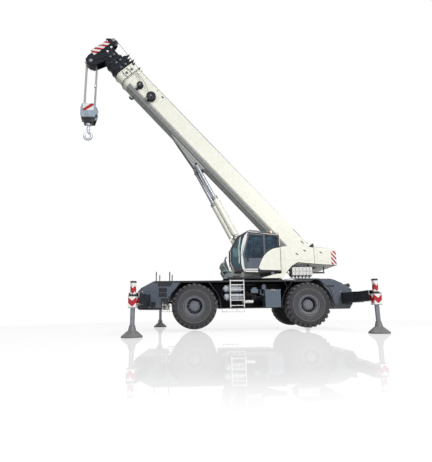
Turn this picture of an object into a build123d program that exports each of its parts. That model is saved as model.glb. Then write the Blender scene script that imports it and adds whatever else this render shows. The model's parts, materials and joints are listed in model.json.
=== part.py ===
"""Two-axle mobile crane on its outriggers, boom raised, hook block hanging.

Lengths are in millimetres. +X points forward over the front outriggers, +Y to the
crane's left (the cab's side) and +Z up. Sizes below are stated from the slewing axis
and the ground; place() moves every piece so that the origin lies under the middle of
the whole crane.
"""
import os
from math import cos, hypot, pi, radians, sin

from build123d import *

os.makedirs("parts", exist_ok=True)

# ---- Whole machine -------------------------------------------------------------
SLEW_X = -1710          # slewing axis, ahead (+) or behind (-) the middle of the crane
SLIDE_GAP = 0.3         # running gap between faces that slide or turn on each other
PIN_GAP = 0.1           # radial clearance of a pin in its bore
SEAT_GAP = 0.3          # gap between a piece and what it is bolted to

# ---- Carrier -------------------------------------------------------------------
WHEELBASE = 4430
AXLE_X = WHEELBASE / 2
CARRIER_HALF = 1450     # half width of deck, bodies and outrigger boxes
FRAME_HALF = 430        # half width over the two box rails
FRAME_LOW, FRAME_TOP = 1260, 1780
FRAME_WALL = 14
RAIL_WIDTH = 130
PEDESTAL_RADIUS = 700   # slewing ring's pedestal, through the deck
DECK_TOP = 1950
DECK_THICK = 50
DECK_FRONT, DECK_REAR = 3740, -2760
FENDER_INNER = 880      # inner edge of the rear fenders
FENDER_TOP = 2000
SKIRT_LOW = 880         # underside of the bays between the wheels
BAY_REACH = 1015        # clearance from the axle to the bays, at the skirt
BAY_WALL = 20
ARCH = ((985, 230), (865, 510), (690, 725), (525, 925))  # ahead of the axle, above the hub
NOSE_X = 4460           # front face of the front body
TAIL_X = -3990          # rear face of the rear body
HOOD_LOW = 860          # underside of the front body
TAIL_LOW = 800          # underside of the rear body
POST_RADIUS = 22
POST_TOP = 2410
POST_Y = 600
ENGINE_X = -3420        # rear end of the engine block
ENGINE_LENGTH, ENGINE_WIDTH, ENGINE_HEIGHT = 1000, 540, 430
ENGINE_Z = 1340

# ---- Pieces in the bays -----------------------------------------------------------
LADDER_X0, LADDER_X1 = 270, 840
LADDER_LOW, LADDER_TOP = 900, 1960
LADDER_RUNGS = (980, 1180, 1380, 1580, 1780)
TANK_RADIUS = 140
TANK_ROWS = ((120, 1640), (150, 1310))             # inset from the bay's front end, and height
TANK_LENGTH = 760
FILTER_RADIUS, FILTER_Z = 60, 1120
TOOLBOX_INSET = 50      # from the bay's rear end
TOOLBOX_LENGTH = 600
TOOLBOX_TOP = 1560
FUEL_INSET = 300
FUEL_TOP = 1500

# ---- Wheels and axles ------------------------------------------------------------
TYRE_RADIUS = 875
TYRE_HALF = 335
TYRE_FACE_Y = 1585      # outer face of the tyres
HUB_Z = 970
LUG_COUNT = 26
LUG_DEPTH = 48
TREAD_HALF = 272
RIM_RADIUS = 330        # bead seat
RIM_WALL = 14
RIM_HALF = 262
FLANGE_RADIUS = 385
FLANGE_THICK = 18
KINGPIN_Y = 1120
KINGPIN_RADIUS = 45
YOKE_HALF = 235         # height of a yoke's arms above and below the hub
YOKE_ARM = 60
AXLE_RADIUS = 125
SPINDLE_RADIUS = 90

# ---- Outriggers --------------------------------------------------------------------
FRONT_BEAM_X = 4115
REAR_BEAM_X = -3754
BEAM_Z = 1215
BEAM_WALL = 16
BEAM_WIDTH = 400        # width of the fixed box
STAGE_STROKE = 1070
STAGE_REACH = 50        # inner end of a retracted stage, from the middle
JACK_Y = 3750
JACK_HOUSING = 250
HOUSING_LOW, HOUSING_TOP = 910, 1285
JACK_TUBE_RADIUS = 92
JACK_TUBE_TOP = 1750
JACK_ROD_RADIUS = 72
JACK_ROD_TOP = 1210
FLOAT_RADIUS = 330
FLOAT_RIM = 45
FLOAT_CONE = 215
FLOAT_NECK = 380

# ---- Superstructure ------------------------------------------------------------------
RING_RADIUS = 680
RING_HEIGHT = 75
TURRET_BASE = 60        # thickness of the turret's base plate
CHEEK_INNER = 345       # inner face of the two cheek plates
CHEEK_THICK = 40
FOOT_X, FOOT_Z = -2550, 3050       # boom foot pin
FOOT_RADIUS = 70
COVER_HALF = 1300       # outer face of the side covers and counterweight
SEAM_X = -1250          # joint between cab and rear covers
WEIGHT_X = -2630        # joint between rear covers and counterweight
WEIGHT_REAR = -3530
WINCH_X, WINCH_Z = -3150, 3215
DRUM_RADIUS = 165
WINCH_FLANGE = 262
HEEL_ROOM = 130         # room for the boom's heel in the counterweight
TANK_X0, TANK_X1 = -890, 560       # hydraulic tank on the right

# ---- Cab -----------------------------------------------------------------------------
CAB_INNER, CAB_OUTER = 660, 1420
CAB_FLOOR = 2300
CAB_REAR = -1200
CAB_WALL = 45
GLASS = 8
DOOR_THICK = 34
DOOR_GAP = 6
POCKET_GAP = 50         # room behind the outer rear panel for the sliding door
PANEL_THICK = 22

# ---- Boom ------------------------------------------------------------------------------
BOOM_ANGLE = 48
BOOM_HALF = 330
BOOM_TOP = 500
BOOM_ROUND = -220       # centre of the rounded underside, below the foot pin's line
BOOM_WALL = 10
BOOM_REAR = -180        # heel, behind the foot pin
SECTION_STEP = 32       # each section is smaller than the last by this, all round
SECTION_ENDS = (11570, 12100, 12400, 12800, 13300)   # front ends of the base and sections 1 to 4
COLLAR_FLANGE = 20
COLLAR_PLATE = 60
GUIDE_BACK = 60         # rope guides, from each inner section's first collar
HOOD_HALF, HOOD_RISE = 200, 112    # hood over the first inner section's collar
GUIDE_HEIGHT = 230
TELE_START = 620        # rear end of the first inner section
HEAD_X, HEAD_Z = 13540, -820       # head sheave pin, along and square to the boom
TOP_AHEAD, TOP_ABOVE = 160, 1520   # upper sheave pin, from the head sheave pin
TOP_X, TOP_Z = HEAD_X + TOP_AHEAD, HEAD_Z + TOP_ABOVE
SHEAVE_RADIUS = 260
SHEAVE_GROOVE = 226
SHEAVE_WIDTH = 50
SHEAVE_ROWS = (-100, 0, 100)
SHEAVE_PIN = 60
TOP_RADIUS = 170
REELS = ((10870, 140), (10090, 210))                 # place along the boom and radius
REEL_WIDTH = 90

# ---- Lift cylinders ---------------------------------------------------------------------
LIFT_X, LIFT_Z = -420, 2200        # pin on the turret
EYE_ALONG, EYE_SQUARE = 6230, -716  # pin under the boom, along and square to it
LIFT_Y = 490
BARREL_RADIUS = 130
BARREL_START = 180
BARREL_LENGTH = 3900
ROD_RADIUS = 85
ROD_LENGTH = 3750
LIFT_PIN = 50
EYE_RADIUS = 105
EYE_WIDTH = 150

# ---- Hook block ---------------------------------------------------------------------------
BLOCK_TOP, BLOCK_LOW = 10340, 9400
BLOCK_HALF = 355        # half length of the widest part
BLOCK_PLATE = 28
BLOCK_Y = 170           # outer face of the block's cheeks
BLOCK_PIN_Z = 10020
ROPE_RADIUS = 12
HOOK_SHANK = 55
HOOK_TURN = 8790        # centre of the hook's bowl
HOOK_BOWL = 160
HOOK_WIRE = 62


# ---- Small helpers ---------------------------------------------------------------------------
def place(shape):
    """Move a shape from the slewing axis's coordinates to the crane's own frame."""
    return Pos(SLEW_X, 0, 0) * shape


def save(name, *solids):
    """Write one node, as one solid or several that don't touch."""
    shapes = [place(s) for s in solids]
    export_step(shapes[0] if len(shapes) == 1 else Compound(shapes), f"parts/{name}.step")


def block(x0, x1, y0, y1, z0, z1):
    return Pos((x0 + x1) / 2, (y0 + y1) / 2, (z0 + z1) / 2) * Box(x1 - x0, y1 - y0, z1 - z0)


def polygon(points):
    return make_face(Polyline(*points, close=True))


def side_plate(points, y0, y1):
    """A plate with a side outline of (x, z) points, between two widths."""
    return extrude(Plane.XZ.offset(-y1) * polygon(points), y1 - y0)


def mirrored(shape):
    return mirror(shape, Plane.XZ)


def both_sides(shape):
    return [shape, mirrored(shape)]


def bar(start, end, radius):
    """A round bar between two points."""
    start, end = Vector(*start), Vector(*end)
    return extrude(Plane(origin=start, z_dir=end - start) * Circle(radius), (end - start).length)


def cross_bar(x, z, y0, y1, radius):
    return bar((x, y0, z), (x, y1, z), radius)


def turned(points):
    """A solid turned about Z from an outline of (radius, z) points."""
    return revolve(Plane.XZ * polygon(points), Axis.Z)


def boom_at(shape):
    """Put a shape drawn along +X from the foot pin onto the raised boom."""
    return Pos(FOOT_X, 0, FOOT_Z) * Rot(0, -BOOM_ANGLE, 0) * shape


def on_boom(along, square):
    """The (x, z) of a point given along and square to the raised boom."""
    a = radians(BOOM_ANGLE)
    return FOOT_X + along * cos(a) - square * sin(a), FOOT_Z + along * sin(a) + square * cos(a)


def sheave(x, z, y, radius, groove, width, bore):
    """A grooved rope sheave across the boom."""
    half = width / 2
    rim = half - 7
    seat = ROPE_RADIUS + 3
    profile = [(bore, -half), (radius, -half), (radius, -rim), (groove + 14, -seat), (groove, -9),
               (groove, 9), (groove + 14, seat), (radius, rim), (radius, half), (bore, half)]
    return Pos(x, y, z) * Rot(90, 0, 0) * turned(profile)


# ---- Wheels and axles ---------------------------------------------------------------------
def ring_section(radius, y):
    """A polygon across the Y axis with one flat for each lug."""
    corner = radius / cos(pi / LUG_COUNT)
    turns = [(2 * n + 1) * pi / LUG_COUNT for n in range(LUG_COUNT)]
    return Plane.XZ.offset(-y) * polygon([(corner * cos(t), corner * sin(t)) for t in turns])


def ring_body(profile):
    """A flat-sided solid about the Y axis through (radius, y) sections."""
    return loft([ring_section(radius, y) for radius, y in profile], ruled=True)


def tyre():
    """Earthmover tyre about the Y axis, with two staggered rows of shoulder lugs."""
    root = TYRE_RADIUS - LUG_DEPTH
    seat = RIM_HALF - SEAT_GAP
    half = [(600, TYRE_HALF), (740, 318), (root, TREAD_HALF)]
    core = ring_body(half + [(r, -y) for r, y in reversed(half)])
    hollow = ring_body([(FLANGE_RADIUS + 8, seat), (600, TYRE_HALF), (600, TYRE_HALF + 5)])
    core -= hollow + mirrored(hollow) + cross_bar(0, 0, -TYRE_HALF, TYRE_HALF, RIM_RADIUS + PIN_GAP)
    pitch = 2 * pi / LUG_COUNT
    teeth = []
    for n in range(LUG_COUNT):
        for share, radius in ((-0.33, root), (-0.27, TYRE_RADIUS), (0.27, TYRE_RADIUS), (0.33, root)):
            angle = (n + share) * pitch
            teeth.append((radius * cos(angle), radius * sin(angle)))
    ring = polygon(teeth) - Circle(root - 40)
    row = Pos(0, 24, 0) * extrude(Plane.XZ * ring, 24 - TREAD_HALF)
    return core + row + mirrored(Rot(0, 180 / LUG_COUNT, 0) * row)


def rim():
    """Rim with its flanges, a dished disc and the planetary hub's cover, facing +Y."""
    inside = RIM_RADIUS - RIM_WALL
    solid = Cylinder(RIM_RADIUS, 2 * RIM_HALF) - Cylinder(inside, 2 * RIM_HALF)
    flange = Cylinder(FLANGE_RADIUS, FLANGE_THICK) - Cylinder(inside, FLANGE_THICK)
    for side in (-1, 1):
        solid += Pos(0, 0, side * (RIM_HALF + FLANGE_THICK / 2)) * flange
    disc = [(0, 30), (0, 170), (110, 170), (150, 150), (165, 62), (inside, 62), (inside, 30)]
    return Rot(-90, 0, 0) * (solid + turned(disc))


def knuckle():
    """Left front steering knuckle about its kingpin: fork eyes, spindle and steering arm."""
    room = Cylinder(KINGPIN_RADIUS + PIN_GAP, 2 * YOKE_HALF)
    solid = Cylinder(80, 2 * (YOKE_HALF - YOKE_ARM) - 2 * SLIDE_GAP)
    spindle_end = TYRE_FACE_Y - TYRE_HALF + 30 - SLIDE_GAP - KINGPIN_Y
    solid += bar((0, 60, 0), (0, spindle_end, 0), SPINDLE_RADIUS)
    solid += block(-215, -60, 0, 50, -30, 30)
    return solid - room


def axle(x):
    """Steered drive axle with its differential, spring seats and kingpin yokes."""
    end = KINGPIN_Y - 100
    solid = cross_bar(x, HUB_Z, -end, end, AXLE_RADIUS)
    bowl = [(0, -210), (120, -200), (215, -110), (255, 0), (215, 110), (120, 200), (0, 210)]
    solid += Pos(x, 60, HUB_Z) * Rot(0, 90, 0) * turned(bowl)
    for side in (-1, 1):
        y = side * KINGPIN_Y
        stem = side * (end - 30)
        solid += block(x - 70, x + 70, stem - 30, stem + 30, HUB_Z - YOKE_HALF, HUB_Z + YOKE_HALF)
        y0, y1 = sorted((stem, y))
        for low in (HUB_Z - YOKE_HALF, HUB_Z + YOKE_HALF - YOKE_ARM):
            solid += block(x - 70, x + 70, y0, y1, low, low + YOKE_ARM)
            solid += Pos(x, y, low + YOKE_ARM / 2) * Cylinder(80, YOKE_ARM)
        solid += Pos(x, y, HUB_Z) * Cylinder(KINGPIN_RADIUS, 2 * YOKE_HALF)
        rail = side * (FRAME_HALF - RAIL_WIDTH / 2)
        solid += block(x - 120, x + 120, rail - 60, rail + 60, HUB_Z, FRAME_LOW - SEAT_GAP)
    return solid


def build_wheels():
    wheel_y = TYRE_FACE_Y - TYRE_HALF
    left_tyre, left_rim, left_knuckle = tyre(), rim(), knuckle()
    for end, x in (("front", AXLE_X), ("rear", -AXLE_X)):
        save(f"{end}_axle", axle(x))
        turn = left_knuckle if end == "front" else mirror(left_knuckle, Plane.YZ)
        pieces = (("tyre", Pos(x, wheel_y, HUB_Z) * left_tyre), ("rim", Pos(x, wheel_y, HUB_Z) * left_rim),
                  ("knuckle", Pos(x, KINGPIN_Y, HUB_Z) * turn))
        for name, left in pieces:
            for side, shape in zip(("left", "right"), both_sides(left)):
                save(f"{name}_{end}_{side}", shape)


# ---- Outriggers -----------------------------------------------------------------------------
def beam_size(stage):
    """Outer width and height of a beam stage: 0 is the fixed box."""
    width = BEAM_WIDTH - 2 * stage * (BEAM_WALL + SLIDE_GAP)
    return width, width + 20


def beam(x, stage, y0, y1):
    """A hollow beam stage across the carrier."""
    width, height = beam_size(stage)
    outer = block(x - width / 2, x + width / 2, y0, y1, BEAM_Z - height / 2, BEAM_Z + height / 2)
    inner = Pos(x, (y0 + y1) / 2, BEAM_Z) * Box(width - 2 * BEAM_WALL, y1 - y0, height - 2 * BEAM_WALL)
    return outer - inner


def jack_housing(x):
    """Square housing at the beam's end, with the jack's own tube standing above it."""
    half = JACK_HOUSING / 2
    solid = block(x - half, x + half, JACK_Y - half, JACK_Y + half, HOUSING_LOW, HOUSING_TOP)
    tube_height = JACK_TUBE_TOP - HOUSING_TOP
    solid += Pos(x, JACK_Y, HOUSING_TOP + tube_height / 2) * Cylinder(JACK_TUBE_RADIUS, tube_height)
    bore = JACK_TUBE_TOP - 20 - HOUSING_LOW
    return solid - Pos(x, JACK_Y, HOUSING_LOW + bore / 2) * Cylinder(JACK_ROD_RADIUS + SLIDE_GAP, bore)


def jack(x):
    """Jack rod with its neck and the round float it stands on."""
    outline = [(0, 0), (FLOAT_RADIUS, 0), (FLOAT_RADIUS, FLOAT_RIM), (125, FLOAT_CONE),
               (JACK_ROD_RADIUS + 14, FLOAT_NECK), (JACK_ROD_RADIUS, FLOAT_NECK),
               (JACK_ROD_RADIUS, JACK_ROD_TOP), (0, JACK_ROD_TOP)]
    return Pos(x, JACK_Y, 0) * turned(outline)


def build_outriggers():
    for end, x in (("front", FRONT_BEAM_X), ("rear", REAR_BEAM_X)):
        first = beam(x, 1, STAGE_REACH + STAGE_STROKE, CARRIER_HALF + STAGE_STROKE)
        second = beam(x, 2, STAGE_REACH + 2 * STAGE_STROKE, JACK_Y - JACK_HOUSING / 2)
        second += jack_housing(x)
        for name, left in (("beam_first", first), ("beam_second", second), ("jack", jack(x))):
            for side, shape in zip(("left", "right"), both_sides(left)):
                save(f"{name}_{end}_{side}", shape)


# ---- Carrier ---------------------------------------------------------------------------------
def arch(axle_x, way):
    """Wheel arch outline beside an axle, from the lowest point up; way is +1 ahead, -1 behind."""
    return [(axle_x + way * dx, HUB_Z + dz) for dx, dz in ARCH]


def frame_ends():
    return REAR_BEAM_X + BEAM_WIDTH / 2, FRONT_BEAM_X - BEAM_WIDTH / 2


def clear_frame(body, beam_x):
    """Cut room for the rails and for an outrigger box from the front or rear body."""
    width, height = beam_size(0)
    w, h = width / 2 + SEAT_GAP, height / 2 + SEAT_GAP
    body -= block(beam_x - w, beam_x + w, -2000, 2000, BEAM_Z - h, BEAM_Z + h)
    start, end = frame_ends()
    half = FRAME_HALF + SEAT_GAP
    return body - block(start, end, -half, half, FRAME_LOW - SEAT_GAP, FRAME_TOP + SEAT_GAP)


def chassis_frame():
    """Two box rails welded between the outrigger boxes, with cross members and a pedestal."""
    start, end = frame_ends()
    inner = FRAME_HALF - RAIL_WIDTH
    rail = block(start, end, inner, FRAME_HALF, FRAME_LOW, FRAME_TOP)
    rail -= block(start - 10, end + 10, inner + FRAME_WALL, FRAME_HALF - FRAME_WALL,
                  FRAME_LOW + FRAME_WALL, FRAME_TOP - FRAME_WALL)
    frame = rail + mirrored(rail)
    for x in (FRONT_BEAM_X, REAR_BEAM_X):
        frame += beam(x, 0, -CARRIER_HALF, CARRIER_HALF)
    for x in (-1500, 1500, 2900, 3650):
        frame += block(x - 50, x + 50, -inner, inner, FRAME_LOW + 10, FRAME_TOP - 60)
    for x in (ENGINE_X + 150, ENGINE_X + ENGINE_LENGTH - 150):
        frame += block(x - 50, x + 50, -inner, inner, FRAME_LOW, ENGINE_Z)
    frame += block(-900, 900, -inner, inner, FRAME_LOW + 20, FRAME_LOW + 60)
    frame += block(-900, 900, -inner, inner, FRAME_TOP - 60, FRAME_TOP)
    frame += Pos(0, 0, (FRAME_TOP + DECK_TOP) / 2) * Cylinder(PEDESTAL_RADIUS, DECK_TOP - FRAME_TOP)
    for x in (DECK_REAR + 200, -1500, 1500, 2450):
        frame += block(x - 60, x + 60, -FRAME_HALF, FRAME_HALF, FRAME_TOP, DECK_TOP - DECK_THICK)
    return frame


def side_bay():
    """Left bay between the wheels: back plate, floor and two sloping end plates."""
    inner = FRAME_HALF + SEAT_GAP
    top = DECK_TOP - DECK_THICK - SEAT_GAP
    front = [(AXLE_X - BAY_REACH, SKIRT_LOW)] + arch(AXLE_X, -1)[:3] + [(AXLE_X - 560, top)]
    rear = [(-x, z) for x, z in reversed(front)]
    bay = side_plate(front + rear, inner, CARRIER_HALF)
    shift = BAY_WALL + 8
    hollow = [(x - shift, z + (BAY_WALL if z == SKIRT_LOW else 0)) for x, z in front]
    hollow[-1] = (hollow[-1][0], top + 50)
    hollow += [(-x, z) for x, z in reversed(hollow)]
    bay -= side_plate(hollow, inner + BAY_WALL, CARRIER_HALF + 50)
    return bay - Pos(0, 0, FRAME_TOP + 200) * Cylinder(PEDESTAL_RADIUS + SEAT_GAP, 400 + 2 * SEAT_GAP)


def ladder():
    """Boarding ladder on the deck's edge: two flat stringers, rungs and a low step."""
    y0, y1 = CARRIER_HALF + SEAT_GAP, CARRIER_HALF + 45
    solid = block(LADDER_X0, LADDER_X0 + 40, y0, y1, LADDER_LOW, LADDER_TOP)
    solid += block(LADDER_X1 - 40, LADDER_X1, y0, y1, LADDER_LOW, LADDER_TOP)
    for z in LADDER_RUNGS:
        solid += block(LADDER_X0, LADDER_X1, y0 + 5, y1, z - 16, z + 16)
    solid += block(LADDER_X0, LADDER_X1, y0, y1, LADDER_TOP - 45, LADDER_TOP)
    return solid


def air_tank(x_front, z):
    """Air tank with domed ends lying along the bay, on two saddles to its back plate."""
    y = CARRIER_HALF - 60 - TANK_RADIUS
    rear = x_front - TANK_LENGTH
    solid = bar((rear + 60, y, z), (x_front - 60, y, z), TANK_RADIUS)
    for x, way in ((x_front - 60, 1), (rear + 60, -1)):
        solid += bar((x, y, z), (x + way * 35, y, z), TANK_RADIUS - 22)
        solid += bar((x, y, z), (x + way * 60, y, z), TANK_RADIUS - 60)
    back = FRAME_HALF + 2 * SEAT_GAP + BAY_WALL
    for x in (rear + 160, x_front - 160):
        solid += block(x - 25, x + 25, back, y, z - 70, z + 70)
    return solid


def build_bay_gear():
    tanks = [air_tank(AXLE_X - BAY_REACH - inset, z) for inset, z in TANK_ROWS]
    back = FRAME_HALF + 2 * SEAT_GAP + BAY_WALL
    filter_y = CARRIER_HALF - 120
    canister = bar((-80, filter_y, FILTER_Z), (330, filter_y, FILTER_Z), FILTER_RADIUS)
    canister += bar((330, filter_y, FILTER_Z), (360, filter_y, FILTER_Z), FILTER_RADIUS - 15)
    canister += block(90, 170, back, filter_y, FILTER_Z - 35, FILTER_Z + 35)
    save("air_tanks", *tanks, canister)
    floor = SKIRT_LOW + BAY_WALL + SEAT_GAP
    end = AXLE_X - BAY_REACH
    face = CARRIER_HALF - 10
    rear = -end + TOOLBOX_INSET
    box = block(rear, rear + TOOLBOX_LENGTH, 800, face, floor, TOOLBOX_TOP)
    for n in range(8):
        x = rear + 50 + n * (TOOLBOX_LENGTH - 100) / 7
        box += block(x - 14, x + 14, face, face + 16, floor + 60, TOOLBOX_TOP - 60)
    fuel = mirrored(block(FUEL_INSET - end, end - FUEL_INSET, 800, face, floor, FUEL_TOP))
    for x in (FUEL_INSET - end + 250, end - FUEL_INSET - 310):
        fuel += mirrored(block(x, x + 60, 790, face + 6, floor, FUEL_TOP + 6))
    save("bay_boxes", box, fuel)


def build_carrier():
    save("chassis_frame", chassis_frame())
    deck_low = DECK_TOP - DECK_THICK
    half = CARRIER_HALF
    rear_axle, front_axle = -AXLE_X, AXLE_X
    arch_end = rear_axle + ARCH[-1][0]

    deck = block(arch_end, DECK_FRONT, -half, half, deck_low, DECK_TOP)
    deck += block(DECK_REAR, arch_end, -FENDER_INNER + SEAT_GAP, FENDER_INNER - SEAT_GAP, deck_low, DECK_TOP)
    deck -= Pos(0, 0, DECK_TOP) * Cylinder(PEDESTAL_RADIUS + SEAT_GAP, 200)
    for y in (-POST_Y, POST_Y):
        deck += bar((3250, y, deck_low + 5), (3250, y, POST_TOP), POST_RADIUS)
    save("deck", deck)

    hoop = [(DECK_REAR, deck_low), (DECK_REAR, 1960), (rear_axle - 480, FENDER_TOP),
            (rear_axle + 430, FENDER_TOP), (arch_end - SEAT_GAP, 1960), (arch_end - SEAT_GAP, deck_low),
            (rear_axle + 410, FENDER_TOP - 45), (rear_axle - 460, FENDER_TOP - 45)]
    save("rear_fenders", *both_sides(side_plate(hoop, FENDER_INNER, half)))

    nose = arch(front_axle, 1)
    front = [(nose[3][0], deck_low - SEAT_GAP), nose[2], nose[1], nose[0], (3440, 1240), (3460, HOOD_LOW),
             (4330, HOOD_LOW), (NOSE_X, 1000), (NOSE_X, 1460), (4270, 1690), (DECK_FRONT + 40, DECK_TOP),
             (DECK_FRONT + SEAT_GAP, DECK_TOP), (DECK_FRONT + SEAT_GAP, deck_low - SEAT_GAP)]
    front = clear_frame(side_plate(front, -half, half), FRONT_BEAM_X)
    for y in (-POST_Y, POST_Y):
        front += bar((3800, y, 1850), (3800, y, POST_TOP), POST_RADIUS)
    save("front_body", *front.solids())

    tail = arch(rear_axle, -1)
    rear = [(DECK_REAR - SEAT_GAP, deck_low - SEAT_GAP), tail[2], tail[1], tail[0], (-3380, TAIL_LOW),
            (-3860, TAIL_LOW), (TAIL_X, 1000), (TAIL_X, 1560), (-3870, 1650), (-3430, 1870),
            (-3000, 1985), (DECK_REAR - SEAT_GAP, 1985)]
    rear = clear_frame(side_plate(rear, -half, half), REAR_BEAM_X)
    room = FRAME_HALF - RAIL_WIDTH
    rear -= block(ENGINE_X - 60, DECK_REAR + 100, -room, room, 0, ENGINE_Z + ENGINE_HEIGHT + 40)
    save("rear_body", *rear.solids())

    engine = block(ENGINE_X, ENGINE_X + ENGINE_LENGTH, -ENGINE_WIDTH / 2, ENGINE_WIDTH / 2,
                   ENGINE_Z + SEAT_GAP, ENGINE_Z + ENGINE_HEIGHT)
    save("engine_block", engine)
    save("side_bays", *both_sides(side_bay()))
    save("ladders", *both_sides(ladder()))
    build_bay_gear()
    save("slew_ring", Pos(0, 0, DECK_TOP + RING_HEIGHT / 2) * Cylinder(RING_RADIUS, RING_HEIGHT))


# ---- Superstructure --------------------------------------------------------------------------
def turret_levels():
    low = DECK_TOP + RING_HEIGHT + SLIDE_GAP
    return low, low + TURRET_BASE


def build_turret():
    low, top = turret_levels()
    turret = block(-1450, 1050, -620, 620, low, top)
    turret += block(CAB_REAR, 900, -COVER_HALF, 1380, low, top)
    for x in (-900, 300):
        turret += block(x - 60, x + 60, 680, 1380, top, CAB_FLOOR - SEAT_GAP)
    cheek = [(-3400, 2640), (-1900, 2640), (-1300, low), (LIFT_X + 120, low), (LIFT_X + 120, LIFT_Z + 40),
             (LIFT_X + 40, LIFT_Z + 120), (LIFT_X - 120, LIFT_Z + 130), (-1250, 2900), (-2300, 3400),
             (-2700, 3400), (-3400, 3060)]
    for shape in both_sides(side_plate(cheek, CHEEK_INNER, CHEEK_INNER + CHEEK_THICK)):
        turret += shape
    reach = LIFT_Y + EYE_WIDTH / 2 + 30
    turret += cross_bar(LIFT_X, LIFT_Z, -reach, reach, LIFT_PIN)
    width = CHEEK_INNER + CHEEK_THICK
    turret += cross_bar(FOOT_X, FOOT_Z, -width, width, FOOT_RADIUS)
    turret += cross_bar(WINCH_X, WINCH_Z, -width, width, 40)
    save("turret_frame", turret)

    inner = width + SEAT_GAP
    front, rear = SEAM_X, WEIGHT_X + SEAT_GAP
    cover = [(front, top), (front, 3300), (rear, 3460), (rear, 2590), (-1950, 2660), (-1700, 2520),
             (-1330, top)]
    save("side_covers", *both_sides(side_plate(cover, inner, COVER_HALF)))
    tank = block(TANK_X0, TANK_X1, -COVER_HALF + 20, -680, top + SEAT_GAP, 2850)
    save("hydraulic_tank", tank)

    weight = [(WEIGHT_X, 2590), (WEIGHT_X, 3290), (-3320, 3210), (WEIGHT_REAR, 3160), (WEIGHT_REAR, 2530)]
    mass = side_plate(weight, -COVER_HALF, COVER_HALF)
    well = WINCH_X - WINCH_FLANGE - 30
    for y0, y1 in ((CHEEK_INNER - SEAT_GAP, inner), (-inner, -CHEEK_INNER + SEAT_GAP)):
        mass -= block(-3400 - SEAT_GAP, WEIGHT_X + 10, y0, y1, 2000, 4000)
    heel = FOOT_X + BOOM_REAR - HEEL_ROOM
    mass -= block(heel, WEIGHT_X + 10, -CHEEK_INNER, CHEEK_INNER, 2000, 4000)
    mass -= block(well, WEIGHT_X + 10, -CHEEK_INNER, CHEEK_INNER, WINCH_Z - WINCH_FLANGE - 20, 4000)
    save("counterweight", mass)

    half = CHEEK_INNER - SEAT_GAP
    winch = cross_bar(WINCH_X, WINCH_Z, -half, half, DRUM_RADIUS)
    for y in (-half, half - 24):
        winch += cross_bar(WINCH_X, WINCH_Z, y, y + 24, WINCH_FLANGE)
    save("main_winch", winch - cross_bar(WINCH_X, WINCH_Z, -half, half, 40 + PIN_GAP))


# ---- Cab ---------------------------------------------------------------------------------------
CAB_SIDE = ((CAB_REAR, CAB_FLOOR), (CAB_REAR, 3780), (50, 3940), (500, 3680), (770, 3200), (780, 2700),
            (620, CAB_FLOOR))
DOOR_HOLE = ((-560, 2380), (-560, 3740), (30, 3820), (240, 3000), (180, 2380))
REAR_LIGHT = ((-1120, 3150), (-1120, 3700), (-640, 3740), (-640, 3200))
QUARTER = ((330, 2960), (150, 3780), (420, 3640), (690, 3170), (700, 2720), (640, 2500), (300, 2500))
RIGHT_LIGHT = ((-540, 3000), (-540, 3740), (20, 3800), (150, 3000))
DOOR_SIDE = ((-600, 2350), (-600, 3770), (50, 3850), (280, 3000), (210, 2350))
DOOR_LIGHT = ((-545, 2830), (-545, 3720), (15, 3790), (222, 3000), (205, 2830))
OUTER_PANEL = ((CAB_REAR, 2330), (CAB_REAR, 3250), (-900, 3190), (-700, 3070), (-520, 2880), (-390, 2620),
               (-320, 2440), (-400, 2350))
FRONT_LIGHT = (2450, 3560)          # bottom and top of the windscreen
REAR_WINDOW = (3000, 3650)
LIGHT_MARGIN = 80


def pane(points, y):
    """A flat side pane that fills a window with its seal gap."""
    return extrude(Plane.XZ.offset(-y) * offset(polygon(points), -SEAT_GAP), GLASS)


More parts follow.
